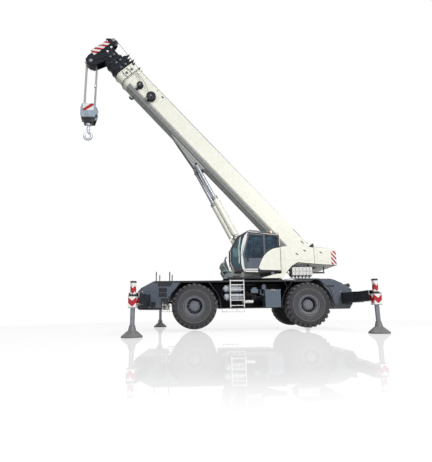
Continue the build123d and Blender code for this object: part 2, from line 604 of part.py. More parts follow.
def build_cab():
    outer = side_plate(CAB_SIDE, CAB_INNER, CAB_OUTER)
    room = offset(polygon(CAB_SIDE), -CAB_WALL)
    inside = CAB_OUTER - CAB_INNER - 2 * CAB_WALL
    shell = outer - extrude(Plane.XZ.offset(-(CAB_OUTER - CAB_WALL)) * room, inside)
    for opening in (DOOR_HOLE, REAR_LIGHT, QUARTER):
        shell -= side_plate(opening, CAB_OUTER - CAB_WALL - 5, CAB_OUTER + 5)
    for opening in (REAR_LIGHT, QUARTER, RIGHT_LIGHT):
        shell -= side_plate(opening, CAB_INNER - 5, CAB_INNER + CAB_WALL + 5)
    y0, y1 = CAB_INNER + LIGHT_MARGIN, CAB_OUTER - LIGHT_MARGIN
    shell -= block(350, 900, y0, y1, *FRONT_LIGHT)
    shell -= block(CAB_REAR - 50, CAB_REAR + 100, y0, y1, *REAR_WINDOW)
    strip = block(CAB_REAR, CAB_REAR + 32, CAB_OUTER - 5, CAB_OUTER + POCKET_GAP + 5, 2400, 3200)
    panel = side_plate(OUTER_PANEL, CAB_OUTER + POCKET_GAP, CAB_OUTER + POCKET_GAP + PANEL_THICK)
    save("cab_shell", shell + strip + panel)

    mid = CAB_WALL / 2 + GLASS / 2
    skin = offset(polygon(CAB_SIDE), -mid + GLASS) - offset(polygon(CAB_SIDE), -mid)
    screen = extrude(Plane.XZ.offset(-y1 + SEAT_GAP) * skin, y1 - y0 - 2 * SEAT_GAP)
    screen &= block(350 + SEAT_GAP, 900, y0, y1, FRONT_LIGHT[0] + SEAT_GAP, FRONT_LIGHT[1] - SEAT_GAP)
    panes = [screen]
    for opening in (REAR_LIGHT, QUARTER):
        panes.append(pane(opening, CAB_OUTER - mid + GLASS))
    for opening in (REAR_LIGHT, QUARTER, RIGHT_LIGHT):
        panes.append(pane(opening, CAB_INNER + mid))
    panes.append(block(CAB_REAR + mid - GLASS, CAB_REAR + mid, y0 + SEAT_GAP, y1 - SEAT_GAP,
                       REAR_WINDOW[0] + SEAT_GAP, REAR_WINDOW[1] - SEAT_GAP))
    save("cab_glass", *panes)

    floor = CAB_FLOOR + CAB_WALL + SEAT_GAP
    y0, y1 = CAB_INNER + 140, CAB_OUTER - 140
    seat = block(-600, -300, y0 + 100, y1 - 100, floor, 2640) + block(-720, -200, y0, y1, 2640, 2790)
    seat += side_plate(((-760, 2700), (-840, 3420), (-740, 3440), (-650, 2700)), y0, y1)
    save("cab_seat", seat)

    y0 = CAB_OUTER + DOOR_GAP
    door = side_plate(DOOR_SIDE, y0, y0 + DOOR_THICK) - side_plate(DOOR_LIGHT, y0 - 5, y0 + DOOR_THICK + 5)
    door += block(-590, 190, CAB_OUTER + SLIDE_GAP, y0, 2352, 2374)
    save("cab_door", door)
    save("door_glass", pane(DOOR_LIGHT, y0 + DOOR_THICK / 2 + GLASS / 2))


# ---- Boom --------------------------------------------------------------------------------------
ACROSS = Plane(origin=(0, 0, 0), x_dir=(0, 1, 0), z_dir=(1, 0, 0))


def outline(shrink):
    """Boom cross-section, smaller by shrink all round: flat top and sides, round underside."""
    half, top = BOOM_HALF - shrink, BOOM_TOP - shrink
    edge = Polyline((-half, BOOM_ROUND), (-half, top), (half, top), (half, BOOM_ROUND))
    edge += ThreePointArc((half, BOOM_ROUND), (0, BOOM_ROUND - half), (-half, BOOM_ROUND))
    return make_face(edge)


def tube(start, end, outer, inner):
    """A length of boom section between two shrinks."""
    return extrude(ACROSS.offset(start) * (outline(outer) - outline(inner)), end - start)


def rope_guide(x, top):
    """Two fins on a collar with a roller between them, which keeps the hoist rope off the boom."""
    fin = [(x, top - 5), (x + 110, top - 5), (x + 95, top + GUIDE_HEIGHT), (x + 45, top + GUIDE_HEIGHT - 30)]
    guide = cross_bar(x + 70, top + 60, -60, 60, 22)
    for shape in both_sides(side_plate(fin, 60, 72)):
        guide += shape
    return guide


def section(n):
    """Boom section n, drawn along +X: 0 is the base, the rest slide out of it."""
    shrink = n * SECTION_STEP
    start = BOOM_REAR if n == 0 else TELE_START + 40 * (n - 1)
    end = SECTION_ENDS[n]
    plate = end - COLLAR_PLATE
    inner = (n + 1) * SECTION_STEP - SLIDE_GAP if n < 4 else shrink + BOOM_WALL
    solid = tube(start, plate, shrink, shrink + BOOM_WALL)
    solid += tube(plate, end, shrink - COLLAR_FLANGE, inner)
    if n > 0:
        pad = (n - 1) * SECTION_STEP + BOOM_WALL + SLIDE_GAP
        solid += tube(start, start + 150, pad, shrink + BOOM_WALL)
        collar = SECTION_ENDS[n - 1] + SLIDE_GAP
        solid += tube(collar, collar + COLLAR_PLATE, shrink - COLLAR_FLANGE, shrink + BOOM_WALL)
        if n == 1:
            top = BOOM_TOP - shrink
            hood = [(collar, top - 5), (collar + 80, top + HOOD_RISE), (end, top + 40), (end, top - 5)]
            solid += side_plate(hood, -HOOD_HALF, HOOD_HALF)
        if n < 4:
            rise = HOOD_RISE - 20 if n == 1 else 0
            solid += rope_guide(collar + GUIDE_BACK, BOOM_TOP - shrink + rise)
    return solid


def build_boom():
    base = section(0)
    base -= side_plate([(-500, 120), (-500, 700), (1300, 700), (1300, BOOM_TOP)], -400, 400)
    hub = CHEEK_INNER - 5
    base += cross_bar(0, 0, -hub, hub, FOOT_RADIUS + 60)
    base -= cross_bar(0, 0, -hub, hub, FOOT_RADIUS + PIN_GAP)
    low = BOOM_ROUND - BOOM_HALF
    ex, ez = EYE_ALONG, EYE_SQUARE
    bracket = [(ex - 320, low + 60), (ex - 160, ez - 40), (ex, ez - 120), (ex + 140, ez - 70),
               (ex + 1900, low + 50), (ex + 1900, low + 200), (ex - 320, low + 200)]
    room = extrude(ACROSS * outline(1), SECTION_ENDS[0])
    for y in (-200, 200):
        base += side_plate(bracket, y - 20, y + 20) - room
    boss = LIFT_Y - EYE_WIDTH / 2 - 10
    base += cross_bar(ex, ez, -boss, boss, 90)
    base += block(10850, 10990, -90, 90, low - 90, low + 6) - room
    save("boom_base", boom_at(base))

    for n in (1, 2, 3):
        save(f"boom_section_{n}", boom_at(section(n)))

    last = section(4)
    shrink = 4 * SECTION_STEP
    end = SECTION_ENDS[4]
    top = BOOM_TOP - shrink
    cheek = [(end - 200, top - 20), (TOP_X - 200, BOOM_TOP - 40), (TOP_X - 90, TOP_Z + 70),
             (TOP_X + 60, TOP_Z + 70), (TOP_X + 160, TOP_Z - 160), (TOP_X + 150, -440), (HEAD_X + 300, HEAD_Z + 80),
             (HEAD_X + 210, HEAD_Z - 160), (HEAD_X - 20, HEAD_Z - 230), (HEAD_X - 230, HEAD_Z - 140),
             (HEAD_X - 330, HEAD_Z + 120), (end - 200, -340)]
    half = BOOM_HALF - shrink
    for shape in both_sides(side_plate(cheek, half - 30, half - 5)):
        last += shape
    last += cross_bar(HEAD_X, HEAD_Z, -half + 10, half - 10, SHEAVE_PIN)
    last += cross_bar(TOP_X, TOP_Z, -half + 10, half - 10, SHEAVE_PIN)
    save("boom_section_4", boom_at(last))

    bore = SHEAVE_PIN + PIN_GAP
    rows = [sheave(HEAD_X, HEAD_Z, y, SHEAVE_RADIUS, SHEAVE_GROOVE, SHEAVE_WIDTH, bore) for y in SHEAVE_ROWS]
    rows.append(sheave(TOP_X, TOP_Z, 0, TOP_RADIUS, TOP_RADIUS - 34, SHEAVE_WIDTH, bore))
    save("head_sheaves", *[boom_at(s) for s in rows])

    reels = []
    for x, radius in REELS:
        reel = cross_bar(x, 0, BOOM_HALF + SEAT_GAP, BOOM_HALF + REEL_WIDTH, radius * 0.55)
        reel += cross_bar(x, 0, BOOM_HALF + REEL_WIDTH * 0.3, BOOM_HALF + REEL_WIDTH, radius)
        reels.append(boom_at(reel))
    save("cable_reels", *reels)


def lift_frame():
    """Plane at the lift cylinders' lower pin with Z along them, and their pin distance."""
    ex, ez = on_boom(EYE_ALONG, EYE_SQUARE)
    length = hypot(ex - LIFT_X, ez - LIFT_Z)
    along = Vector((ex - LIFT_X) / length, 0, (ez - LIFT_Z) / length)
    return Plane(origin=(LIFT_X, 0, LIFT_Z), x_dir=(0, 1, 0), z_dir=along), length


def standing(radius, low, high):
    return Pos(0, 0, (low + high) / 2) * Cylinder(radius, high - low)


def eye(z):
    """An eye with its bore across the cylinder."""
    return Pos(0, 0, z) * Rot(0, 90, 0) * (Cylinder(EYE_RADIUS, EYE_WIDTH) - Cylinder(
        LIFT_PIN + PIN_GAP, EYE_WIDTH))


def build_lift():
    frame, length = lift_frame()
    pin_room = Rot(0, 90, 0) * Cylinder(LIFT_PIN + PIN_GAP, EYE_WIDTH)
    barrel = standing(BARREL_RADIUS, BARREL_START, BARREL_LENGTH)
    barrel += Pos(0, 0, BARREL_START / 2) * Box(EYE_WIDTH, EYE_RADIUS * 1.7, BARREL_START) + eye(0)
    barrel -= pin_room
    barrel -= standing(ROD_RADIUS + SLIDE_GAP, BARREL_START + 60, BARREL_LENGTH)
    rod = standing(ROD_RADIUS, length - ROD_LENGTH, length - EYE_RADIUS + 15) + eye(length)
    save("lift_barrels", *[frame * Pos(y, 0, 0) * barrel for y in (-LIFT_Y, LIFT_Y)])
    save("lift_rods", *[frame * Pos(y, 0, 0) * rod for y in (-LIFT_Y, LIFT_Y)])


# ---- Hook --------------------------------------------------------------------------------------
def build_hook():
    mid, pin_z = on_boom(HEAD_X, HEAD_Z)
    reach = SHEAVE_GROOVE + ROPE_RADIUS + SLIDE_GAP
    falls = []
    for x in (mid - reach, mid + reach):
        for y in SHEAVE_ROWS:
            falls.append(bar((x, y, BLOCK_PIN_Z), (x, y, pin_z), ROPE_RADIUS))
    save("hoist_ropes", *falls)

    cheek = [(mid - 290, BLOCK_TOP), (mid + 290, BLOCK_TOP), (mid + BLOCK_HALF, 10150),
             (mid + BLOCK_HALF, 9800), (mid + 240, BLOCK_LOW), (mid - 240, BLOCK_LOW),
             (mid - BLOCK_HALF, 9800), (mid - BLOCK_HALF, 10150)]
    body = cross_bar(mid, BLOCK_PIN_Z, -BLOCK_Y, BLOCK_Y, SHEAVE_PIN)
    for shape in both_sides(side_plate(cheek, BLOCK_Y - BLOCK_PLATE, BLOCK_Y)):
        body += shape
    inner = BLOCK_Y - BLOCK_PLATE
    body += block(mid - 190, mid + 190, -inner, inner, BLOCK_LOW, BLOCK_LOW + 240)
    save("hook_block", body)
    bore = SHEAVE_PIN + PIN_GAP
    save("block_sheaves", *[sheave(mid, BLOCK_PIN_Z, y, SHEAVE_RADIUS, SHEAVE_GROOVE, SHEAVE_WIDTH, bore)
                            for y in SHEAVE_ROWS])

    low = BLOCK_LOW - SLIDE_GAP
    shank = bar((mid, 0, HOOK_TURN + HOOK_BOWL), (mid, 0, low), HOOK_SHANK)
    bend = Plane.XZ * CenterArc((mid, HOOK_TURN), HOOK_BOWL, 90, 290)
    start = Plane(origin=(mid, 0, HOOK_TURN + HOOK_BOWL), z_dir=(-1, 0, 0))
    bowl = sweep(start * Circle(HOOK_WIRE), path=bend)
    save("hook", shank + bowl)


build_wheels()
build_outriggers()
build_carrier()
build_turret()
build_cab()
build_boom()
build_lift()
build_hook()
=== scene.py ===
"""Looks of the mobile crane: paint, glass, rope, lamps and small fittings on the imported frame.

Metres, in the frame's own axes: +X forward, +Y to the crane's left, +Z up.
"""
import json
from math import cos, pi, radians, sin

import bmesh
import bpy
from mathutils import Matrix, Vector

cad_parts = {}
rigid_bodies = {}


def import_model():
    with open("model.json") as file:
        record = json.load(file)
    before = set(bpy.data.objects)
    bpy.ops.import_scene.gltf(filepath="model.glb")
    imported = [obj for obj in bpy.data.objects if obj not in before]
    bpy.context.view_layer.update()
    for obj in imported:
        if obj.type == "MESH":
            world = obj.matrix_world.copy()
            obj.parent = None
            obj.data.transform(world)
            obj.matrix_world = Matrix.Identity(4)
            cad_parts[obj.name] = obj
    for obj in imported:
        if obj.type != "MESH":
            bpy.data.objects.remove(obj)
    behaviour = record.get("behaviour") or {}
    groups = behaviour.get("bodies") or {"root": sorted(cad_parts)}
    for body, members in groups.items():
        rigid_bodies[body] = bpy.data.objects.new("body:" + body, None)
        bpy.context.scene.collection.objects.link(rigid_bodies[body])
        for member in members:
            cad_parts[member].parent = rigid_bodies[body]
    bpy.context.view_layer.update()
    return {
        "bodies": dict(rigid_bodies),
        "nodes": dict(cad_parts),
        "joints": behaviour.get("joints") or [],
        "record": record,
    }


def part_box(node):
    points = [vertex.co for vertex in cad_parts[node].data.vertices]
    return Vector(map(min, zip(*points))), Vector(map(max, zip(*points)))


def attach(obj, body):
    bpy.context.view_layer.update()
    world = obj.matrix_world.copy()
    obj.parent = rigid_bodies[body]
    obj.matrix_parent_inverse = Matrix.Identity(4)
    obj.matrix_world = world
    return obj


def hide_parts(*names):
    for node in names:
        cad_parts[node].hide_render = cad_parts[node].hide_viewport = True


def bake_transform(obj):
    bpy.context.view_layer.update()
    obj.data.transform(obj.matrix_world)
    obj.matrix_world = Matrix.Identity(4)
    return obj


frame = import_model()
JOINTS = {joint["name"]: joint for joint in frame["record"]["behaviour"]["joints"]}

# ---- Places taken from the frame ------------------------------------------------
SLEW = Vector(JOINTS["slew"]["pos_m"])
FOOT = Vector(JOINTS["luff"]["pos_m"])
HEAD_PIN = Vector(JOINTS["hook_hang"]["pos_m"])
BOOM_ANGLE = radians(48)
ON_TURRET = Matrix.Translation((SLEW.x, 0, 0))          # x from the slewing axis, z from the ground
ON_BOOM = Matrix.Translation(FOOT) @ Matrix.Rotation(-BOOM_ANGLE, 4, "Y")  # x along, z square to the boom
SIDES = (("left", 1), ("right", -1))
ENDS = ("front", "rear")
CORNERS = [(end, side, way) for end in ENDS for side, way in SIDES]

# ---- Sizes used in several places -------------------------------------------------
TIP = 0.0005             # radius that stands for a turned form's own axis
HOSE_CUTS = 6            # pieces of a hose between two of its points
CARRIER_HALF = 1.450     # half the carrier's width
JACK_REACH = 3.75        # from the middle plane to a jack
BEAM_HEIGHT = 1.215      # middle of the outrigger beams above the ground
LIFT_Y = 0.49            # from the middle plane to a lift cylinder

# ---- Colours (linear) --------------------------------------------------------------
CREAM = (0.84, 0.835, 0.745)
WORN_CREAM = (0.35, 0.34, 0.31)
SLATE = (0.078, 0.096, 0.128)
SKIRT = (0.010, 0.012, 0.018)
CHASSIS = (0.016, 0.019, 0.027)
NIGHT = (0.006, 0.009, 0.016)
CAB_BLACK = (0.022, 0.026, 0.034)
FLOAT_GREY = (0.13, 0.13, 0.135)
WHITE = (0.80, 0.80, 0.78)
RED = (0.40, 0.012, 0.022)
RUBBER = (0.054, 0.054, 0.058)
BLACK = (0.014, 0.014, 0.016)
NOTHING = (0.0, 0.0, 0.0)
RIM = (0.118, 0.132, 0.165)
STEEL = (0.42, 0.43, 0.45)
BEAM = (0.012, 0.014, 0.022)
DUST = (0.30, 0.27, 0.23)


# ---- Materials ------------------------------------------------------------------------
class Value:
    """A number in a node tree, so that a shader's sums read as sums."""

    def __init__(self, shader, socket):
        self.shader, self.socket = shader, socket

    def __abs__(self):
        return self.shader.math("ABSOLUTE", self)

    def __add__(self, other):
        return self.shader.math("ADD", self, other)

    def __sub__(self, other):
        return self.shader.math("SUBTRACT", self, other)

    def __mul__(self, other):
        return self.shader.math("MULTIPLY", self, other)

    def __truediv__(self, other):
        return self.shader.math("DIVIDE", self, other)


class Nodes:
    """The node tree of a material or a world, with short ways to add nodes."""

    def __init__(self, owner, output="ShaderNodeOutputMaterial"):
        owner.use_nodes = True
        self.tree = owner.node_tree
        self.tree.nodes.clear()
        self.surface = self.tree.nodes.new(output).inputs["Surface"]

    def node(self, kind, inputs=None, **settings):
        node = self.tree.nodes.new(kind)
        for key, value in settings.items():
            setattr(node, key, value)
        for key, value in (inputs or {}).items():
            self.feed(node.inputs[key], value)
        return node

    def feed(self, socket, value):
        if isinstance(value, Value):
            value = value.socket
        if isinstance(value, bpy.types.Node):
            value = value.outputs[0]
        if isinstance(value, bpy.types.NodeSocket):
            self.tree.links.new(value, socket)
        elif hasattr(socket.default_value, "__len__") and len(socket.default_value) == 4 and len(value) == 3:
            socket.default_value = (*value, 1)
        else:
            socket.default_value = value

    def math(self, operation, a, b=0.0, clamp=False):
        node = self.node("ShaderNodeMath", operation=operation, use_clamp=clamp)
        for socket, value in zip(node.inputs, (a, b)):
            self.feed(socket, value)
        return Value(self, node.outputs[0])


class Shader(Nodes):
    """A material with a Principled shader at its end."""

    def __init__(self, name):
        self.material = bpy.data.materials.new(name)
        super().__init__(self.material)
        self.main = self.node("ShaderNodeBsdfPrincipled")
        self.feed(self.surface, self.main)
        coordinates = self.node("ShaderNodeTexCoord").outputs
        self.place, self.normal = coordinates["Object"], coordinates["Normal"]
        parts = self.node("ShaderNodeSeparateXYZ", {0: self.place})
        self.x, self.y, self.z = (Value(self, part) for part in parts.outputs)

    def dot(self, a, b):
        return Value(self, self.node("ShaderNodeVectorMath", {0: a, 1: b}, operation="DOT_PRODUCT").outputs["Value"])

    def noise(self, scale, detail=3.0):
        inputs = {"Vector": self.place, "Scale": scale, "Detail": detail, "Roughness": 0.6}
        return Value(self, self.node("ShaderNodeTexNoise", inputs).outputs["Fac"])

    def step(self, value, low, high):
        """0 below low, 1 above high."""
        inputs = {"Value": value, "From Min": low, "From Max": high}
        return Value(self, self.node("ShaderNodeMapRange", inputs, interpolation_type="SMOOTHSTEP").outputs[0])

    def band(self, value, low, high, soft=0.002):
        """1 between two values of a coordinate."""
        return self.step(value, low - soft, low + soft) * self.step(value, high + soft, high - soft)

    def mix(self, share, a, b):
        node = self.node("ShaderNodeMix", data_type="RGBA")
        for socket, value in zip((node.inputs[0], node.inputs[6], node.inputs[7]), (share, a, b)):
            self.feed(socket, value)
        return node.outputs[2]

    def stripes(self, across, period):
        """Slanting hazard stripes over a coordinate."""
        return self.mix(self.step(self.math("FRACT", across / period), 0.485, 0.515), RED, WHITE)

    def bump(self, height, strength, distance, before=None):
        node = self.node("ShaderNodeBump", {"Height": height, "Strength": strength, "Distance": distance})
        if before is not None:
            self.feed(node.inputs["Normal"], before)
        return node.outputs[0]

    def edges(self, radius):
        """1 along convex and concave edges, from how far a rounded normal leaves the true one."""
        bevel = self.node("ShaderNodeBevel", {"Radius": radius}, samples=4)
        geometry = self.node("ShaderNodeNewGeometry")
        return self.step(self.dot(bevel, geometry.outputs["Normal"]), 0.99, 0.86), bevel.outputs[0]

    def set(self, **values):
        names = {"colour": "Base Color", "rough": "Roughness", "metal": "Metallic", "normal": "Normal",
                 "coat": "Coat Weight", "coat_rough": "Coat Roughness", "glow": "Emission Strength",
                 "glow_colour": "Emission Color", "alpha": "Alpha", "sheen": "Sheen Weight", "ior": "IOR",
                 "gloss": "Specular IOR Level"}
        for key, value in values.items():
            self.feed(self.main.inputs[names[key]], value)
        return self.material

    def paint(self, colour, rough=0.38, wear=0.5, dirt=0.25, worn=STEEL, coat=0.12, gloss=0.3):
        """Paint over a colour: broad tint changes, dust low down, orange peel and rubbed edges."""
        low = self.step(self.z, 1.6, 0.3)
        dusty = self.step(self.noise(2.3, 5.0), 0.45, 0.75) * (low * dirt + dirt * 0.25)
        shade = self.mix(self.noise(7.0, 4.0) * 0.22, self.mix(dusty, colour, DUST), NOTHING)
        edge, rounded = self.edges(0.008)
        rubbed = edge * self.step(self.noise(34.0, 4.0), 0.60 - 0.12 * wear, 0.72) * wear
        normal = self.bump(self.noise(420.0, 1.0), 0.05, 0.001, rounded)
        scuff = self.noise(18.0, 6.0) * 0.22 + (rough - 0.11)
        return self.set(colour=self.mix(rubbed, shade, worn), rough=scuff + dusty, normal=normal, coat=coat,
                        coat_rough=0.18, gloss=gloss)


def jack_paint():
    """Dark beam, then white housing and jack tube with red chevrons pointing down and a dark cap."""
    s = Shader("jack_paint")
    low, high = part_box("jack_front_left")
    reach, front = abs(high.y + low.y) / 2, (low.x + high.x) / 2
    low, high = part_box("jack_rear_left")
    rear = (low.x + high.x) / 2
    across = s.math("MINIMUM", abs(s.x - front), abs(s.x - rear))
    off = s.math("MINIMUM", abs(abs(s.y) - reach), across)
    tube = s.band(s.z - off * 1.35, 1.335, 1.515) * s.step(s.z, 1.330, 1.332)
    box = s.band(s.z - off * 0.95, 0.945, 1.125) * s.step(s.z, 1.262, 1.260)
    colour = s.mix(s.step(s.z, 1.690, 1.693), s.mix(tube + box, WHITE, RED), NIGHT)
    housing = s.step(abs(s.y), reach - 0.127, reach - 0.1255)
    return s.paint(s.mix(housing, BEAM, colour), rough=0.42, wear=0.5, dirt=0.2)


def cab_paint():
    """Cream cab with a white door surround, a black front frame and dark inner faces."""
    s = Shader("cab_paint")
    rise = s.z - 3.0
    lean = s.math("MINIMUM", rise * -0.2706, rise * 0.1077)
    ahead = s.x - (SLEW.x + 0.28) - lean
    colour = s.mix(s.step(ahead, -0.20, -0.18), CREAM, WHITE)
    flank = s.band(s.y, 1.35, 1.436) * s.step(s.x * -0.122 + s.z, 4.115, 4.111)
    colour = s.mix(flank * s.step(s.x, SLEW.x + 0.09, SLEW.x + 0.085), colour, CAB_BLACK)
    colour = s.mix(s.step(ahead, 0.062, 0.066), colour, CAB_BLACK)
    low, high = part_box("cab_shell")
    middle = ((low.x + high.x) / 2, (low.y + high.y) / 2 - 0.035, (low.z + high.z) / 2)
    out = s.node("ShaderNodeVectorMath", {0: s.place, 1: middle}, operation="SUBTRACT")
    colour = s.mix(s.step(s.dot(out, s.normal), 0.0, 0.002), (0.020, 0.022, 0.027), colour)
    return s.paint(colour, wear=0.2, dirt=0.0, worn=WORN_CREAM)


def boom_paint():
    """Cream flanks; the base section's rounded underside is painted grey as shade, with lighter and darker bands
    along the boom and dark lines across it.
    """
    s = Shader("boom_paint")
    off = s.node("ShaderNodeVectorMath", {0: s.place, 1: tuple(FOOT)}, operation="SUBTRACT")
    square = s.dot(off, (-sin(BOOM_ANGLE), 0.0, cos(BOOM_ANGLE)))
    along = s.dot(off, (cos(BOOM_ANGLE), 0.0, sin(BOOM_ANGLE)))
    # painted shade: the base section's underside below the flanks turns grey
    shaded_underside = s.step(square, -0.228, -0.240) * s.step(along, 11.34, 11.33)
    fold = s.math("PINGPONG", square * 9.0, 0.5)
    shell = s.mix(s.step(fold, 0.10, 0.34), (0.21, 0.225, 0.215), (0.36, 0.375, 0.36))
    streak = s.math("PINGPONG", along * 4.0, 0.5)
    shell = s.mix(s.step(streak, 0.06, 0.02) * 0.35, shell, (0.10, 0.105, 0.10))
    return s.paint(s.mix(shaded_underside, CREAM, shell), wear=0.3, dirt=0.08, worn=WORN_CREAM)


def block_paint():
    """Hook block: grey-blue cheeks over a black foot."""
    s = Shader("hook_paint")
    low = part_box("hook_block")[0].z
    colour = s.mix(s.step(s.z, low + 0.262, low + 0.256), (0.33, 0.40, 0.48), BLACK)
    return s.paint(colour, rough=0.36, wear=0.6, dirt=0.0)


def counterweight_paint():
    """Cream casting with slanting stripes over its rear end."""
    s = Shader("cream_weight")
    low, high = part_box("counterweight")
    zone = s.step(s.x, low.x + 0.215, low.x + 0.21) * s.band(s.z, low.z + 0.03, high.z - 0.17)
    colour = s.mix(zone, CREAM, s.stripes(s.z * 0.85 - (s.x + abs(s.y)), 0.165))
    return s.paint(colour, rough=0.4, wear=0.4, dirt=0.1)


def board_paint():
    """Slanting red and white stripes in the piece's own frame."""
    s = Shader("board_paint")
    return s.paint(s.stripes(s.x * 0.8 + s.z, 0.27), wear=0.3, dirt=0.0)


def block_board():
    """One wide red band across a white plate."""
    s = Shader("block_board")
    off = abs(s.x * 0.72 + s.z - 10.15)
    return s.paint(s.mix(s.step(off, 0.085, 0.089), RED, WHITE), wear=0.3, dirt=0.0)


def rubber(name, colour, rough):
    s = Shader(name)
    cloud = s.step(s.noise(5.0, 6.0), 0.38, 0.72)
    tone = s.mix(s.noise(60.0) * 0.35, s.mix(cloud * 0.2, colour, (0.13, 0.12, 0.11)), NOTHING)
    return s.set(colour=tone, rough=cloud * 0.15 + rough, normal=s.bump(s.noise(160.0, 4.0), 0.25, 0.002), gloss=0.25)


def tyre_rubber():
    """Rubber with dust patches, pale sidewall rings of painted highlight beside dark grooves of painted shade, and
    painted shade between the lugs.
    """
    s = Shader("tyre_rubber")
    spans = []
    for end in ENDS:
        middle = Vector(JOINTS[f"roll_{end}_left"]["pos_m"])
        dx, dz = s.x - middle.x, s.z - middle.z
        spans.append(s.math("SQRT", dx * dx + dz * dz))
    span = s.math("MINIMUM", *spans)
    dust = s.step(s.noise(7.0, 5.0), 0.35, 0.75)
    # painted highlight on the sidewall's raised rings, and painted shade in the grooves beside them
    rings = s.math("ADD", s.band(span, 0.405, 0.425, 0.004), s.band(span, 0.610, 0.622, 0.004), clamp=True)
    grooves = s.math("ADD", s.band(span, 0.427, 0.440, 0.004), s.band(span, 0.590, 0.608, 0.004), clamp=True)
    tone = s.mix(dust * 0.5, RUBBER, (0.098, 0.097, 0.100))
    tone = s.mix(grooves * 0.7, tone, (0.018, 0.018, 0.020))
    tone = s.mix(rings * 0.85, tone, (0.19, 0.19, 0.20))
    # painted shade in the gaps between the lugs
    tone = s.mix(s.band(span, 0.640, 0.800, 0.02) * 0.6, tone, (0.020, 0.019, 0.021))
    tone = s.mix(s.step(span, 0.845, 0.868) * 0.7, tone, (0.125, 0.122, 0.120))
    return s.set(colour=tone, rough=dust * 0.12 + 0.62, normal=s.bump(s.noise(60.0), 0.10, 0.002), gloss=0.25)


def metal(name, colour, rough, grain=90.0, grease=0.3, dark=(0.03, 0.03, 0.03)):
    s = Shader(name)
    tone = s.mix(s.step(s.noise(9.0, 5.0), 0.45, 0.7) * grease, colour, dark)
    streak = s.mix(s.step(s.noise(grain, 2.0), 0.3, 0.7), tone, s.mix(0.12, tone, dark))
    return s.set(colour=streak, rough=s.noise(30.0, 5.0) * 0.12 + rough, metal=0.55)


def rod_metal():
    """Chrome darkened to stand in for the dark reflections on the rods (painted reflection), above the floats'
    painted cones.
    """
    s = Shader("rod_chrome")
    patch = s.step(s.noise(9.0, 5.0), 0.45, 0.7)
    painted = s.step(s.z, 0.388, 0.384)
    # painted reflection: dark chrome tones in patches
    tone = s.mix(painted, s.mix(patch * 0.35, (0.20, 0.215, 0.24), (0.09, 0.10, 0.12)), FLOAT_GREY)
    rough = painted * 0.20 + (s.noise(30.0, 5.0) * 0.12 + 0.26)
    return s.set(colour=tone, rough=rough, metal=painted * -0.7 + 0.75)


def glass():
    """Night-blue panes with painted teal reflections, palest towards the windscreen."""
    s = Shader("cab_glass")
    smear = s.step(s.noise(4.0, 5.0), 0.5, 0.8)
    cloud = s.step(s.noise(2.6), 0.46, 0.66)
    forward = s.step(s.x, SLEW.x + 0.28, SLEW.x + 0.40)
    # painted reflection: teal patches over the night-blue, paler on the windscreen
    tint = s.mix(cloud * 0.6, (0.010, 0.022, 0.040), (0.045, 0.110, 0.160))
    tint = s.mix(forward, tint, s.mix(cloud, (0.030, 0.085, 0.100), (0.110, 0.230, 0.250)))
    tint = s.mix(smear * 0.08, tint, (0.25, 0.30, 0.32))
    return s.set(colour=tint, coat=0.12, coat_rough=0.02, rough=smear * 0.06 + 0.05, alpha=0.78, ior=1.5, gloss=0.3)


def tread_plate():
    """Deck paint with raised lozenges and rubbed walkways."""
    s = Shader("deck_tread")
    raised = s.step(s.math("SINE", (s.x + s.y) * 70.0) * s.math("SINE", (s.x - s.y) * 70.0), 0.25, 0.6)
    worn = s.step(s.noise(1.7, 4.0), 0.45, 0.65) * 0.45
    tone = s.mix(worn * raised, (0.016, 0.018, 0.026), (0.10, 0.105, 0.11))
    tone = s.mix(s.noise(12.0, 5.0) * 0.3, tone, BLACK)
    return s.set(colour=tone, rough=0.5, normal=s.bump(raised, 0.5, 0.003, s.edges(0.006)[1]))


def cloth_material():
    s = Shader("seat_weave")
    thread = s.math("SINE", s.y * 900.0) * s.math("SINE", (s.x + s.z) * 900.0) * 0.5 + 0.5
    tone = s.mix(thread, (0.025, 0.027, 0.032), (0.07, 0.075, 0.085))
    return s.set(colour=tone, rough=0.9, sheen=0.3, normal=s.bump(thread, 0.4, 0.001))


def lamp(name, colour, glow):
    s = Shader(name)
    facets = Value(s, s.node("ShaderNodeTexVoronoi", {"Vector": s.place, "Scale": 90.0}).outputs["Distance"])
    return s.set(colour=s.mix(facets * 0.6, colour, (1.0, 1.0, 1.0)), rough=0.12, coat=1.0, coat_rough=0.05,
                 normal=s.bump(facets, 0.3, 0.002), glow=glow, glow_colour=colour)


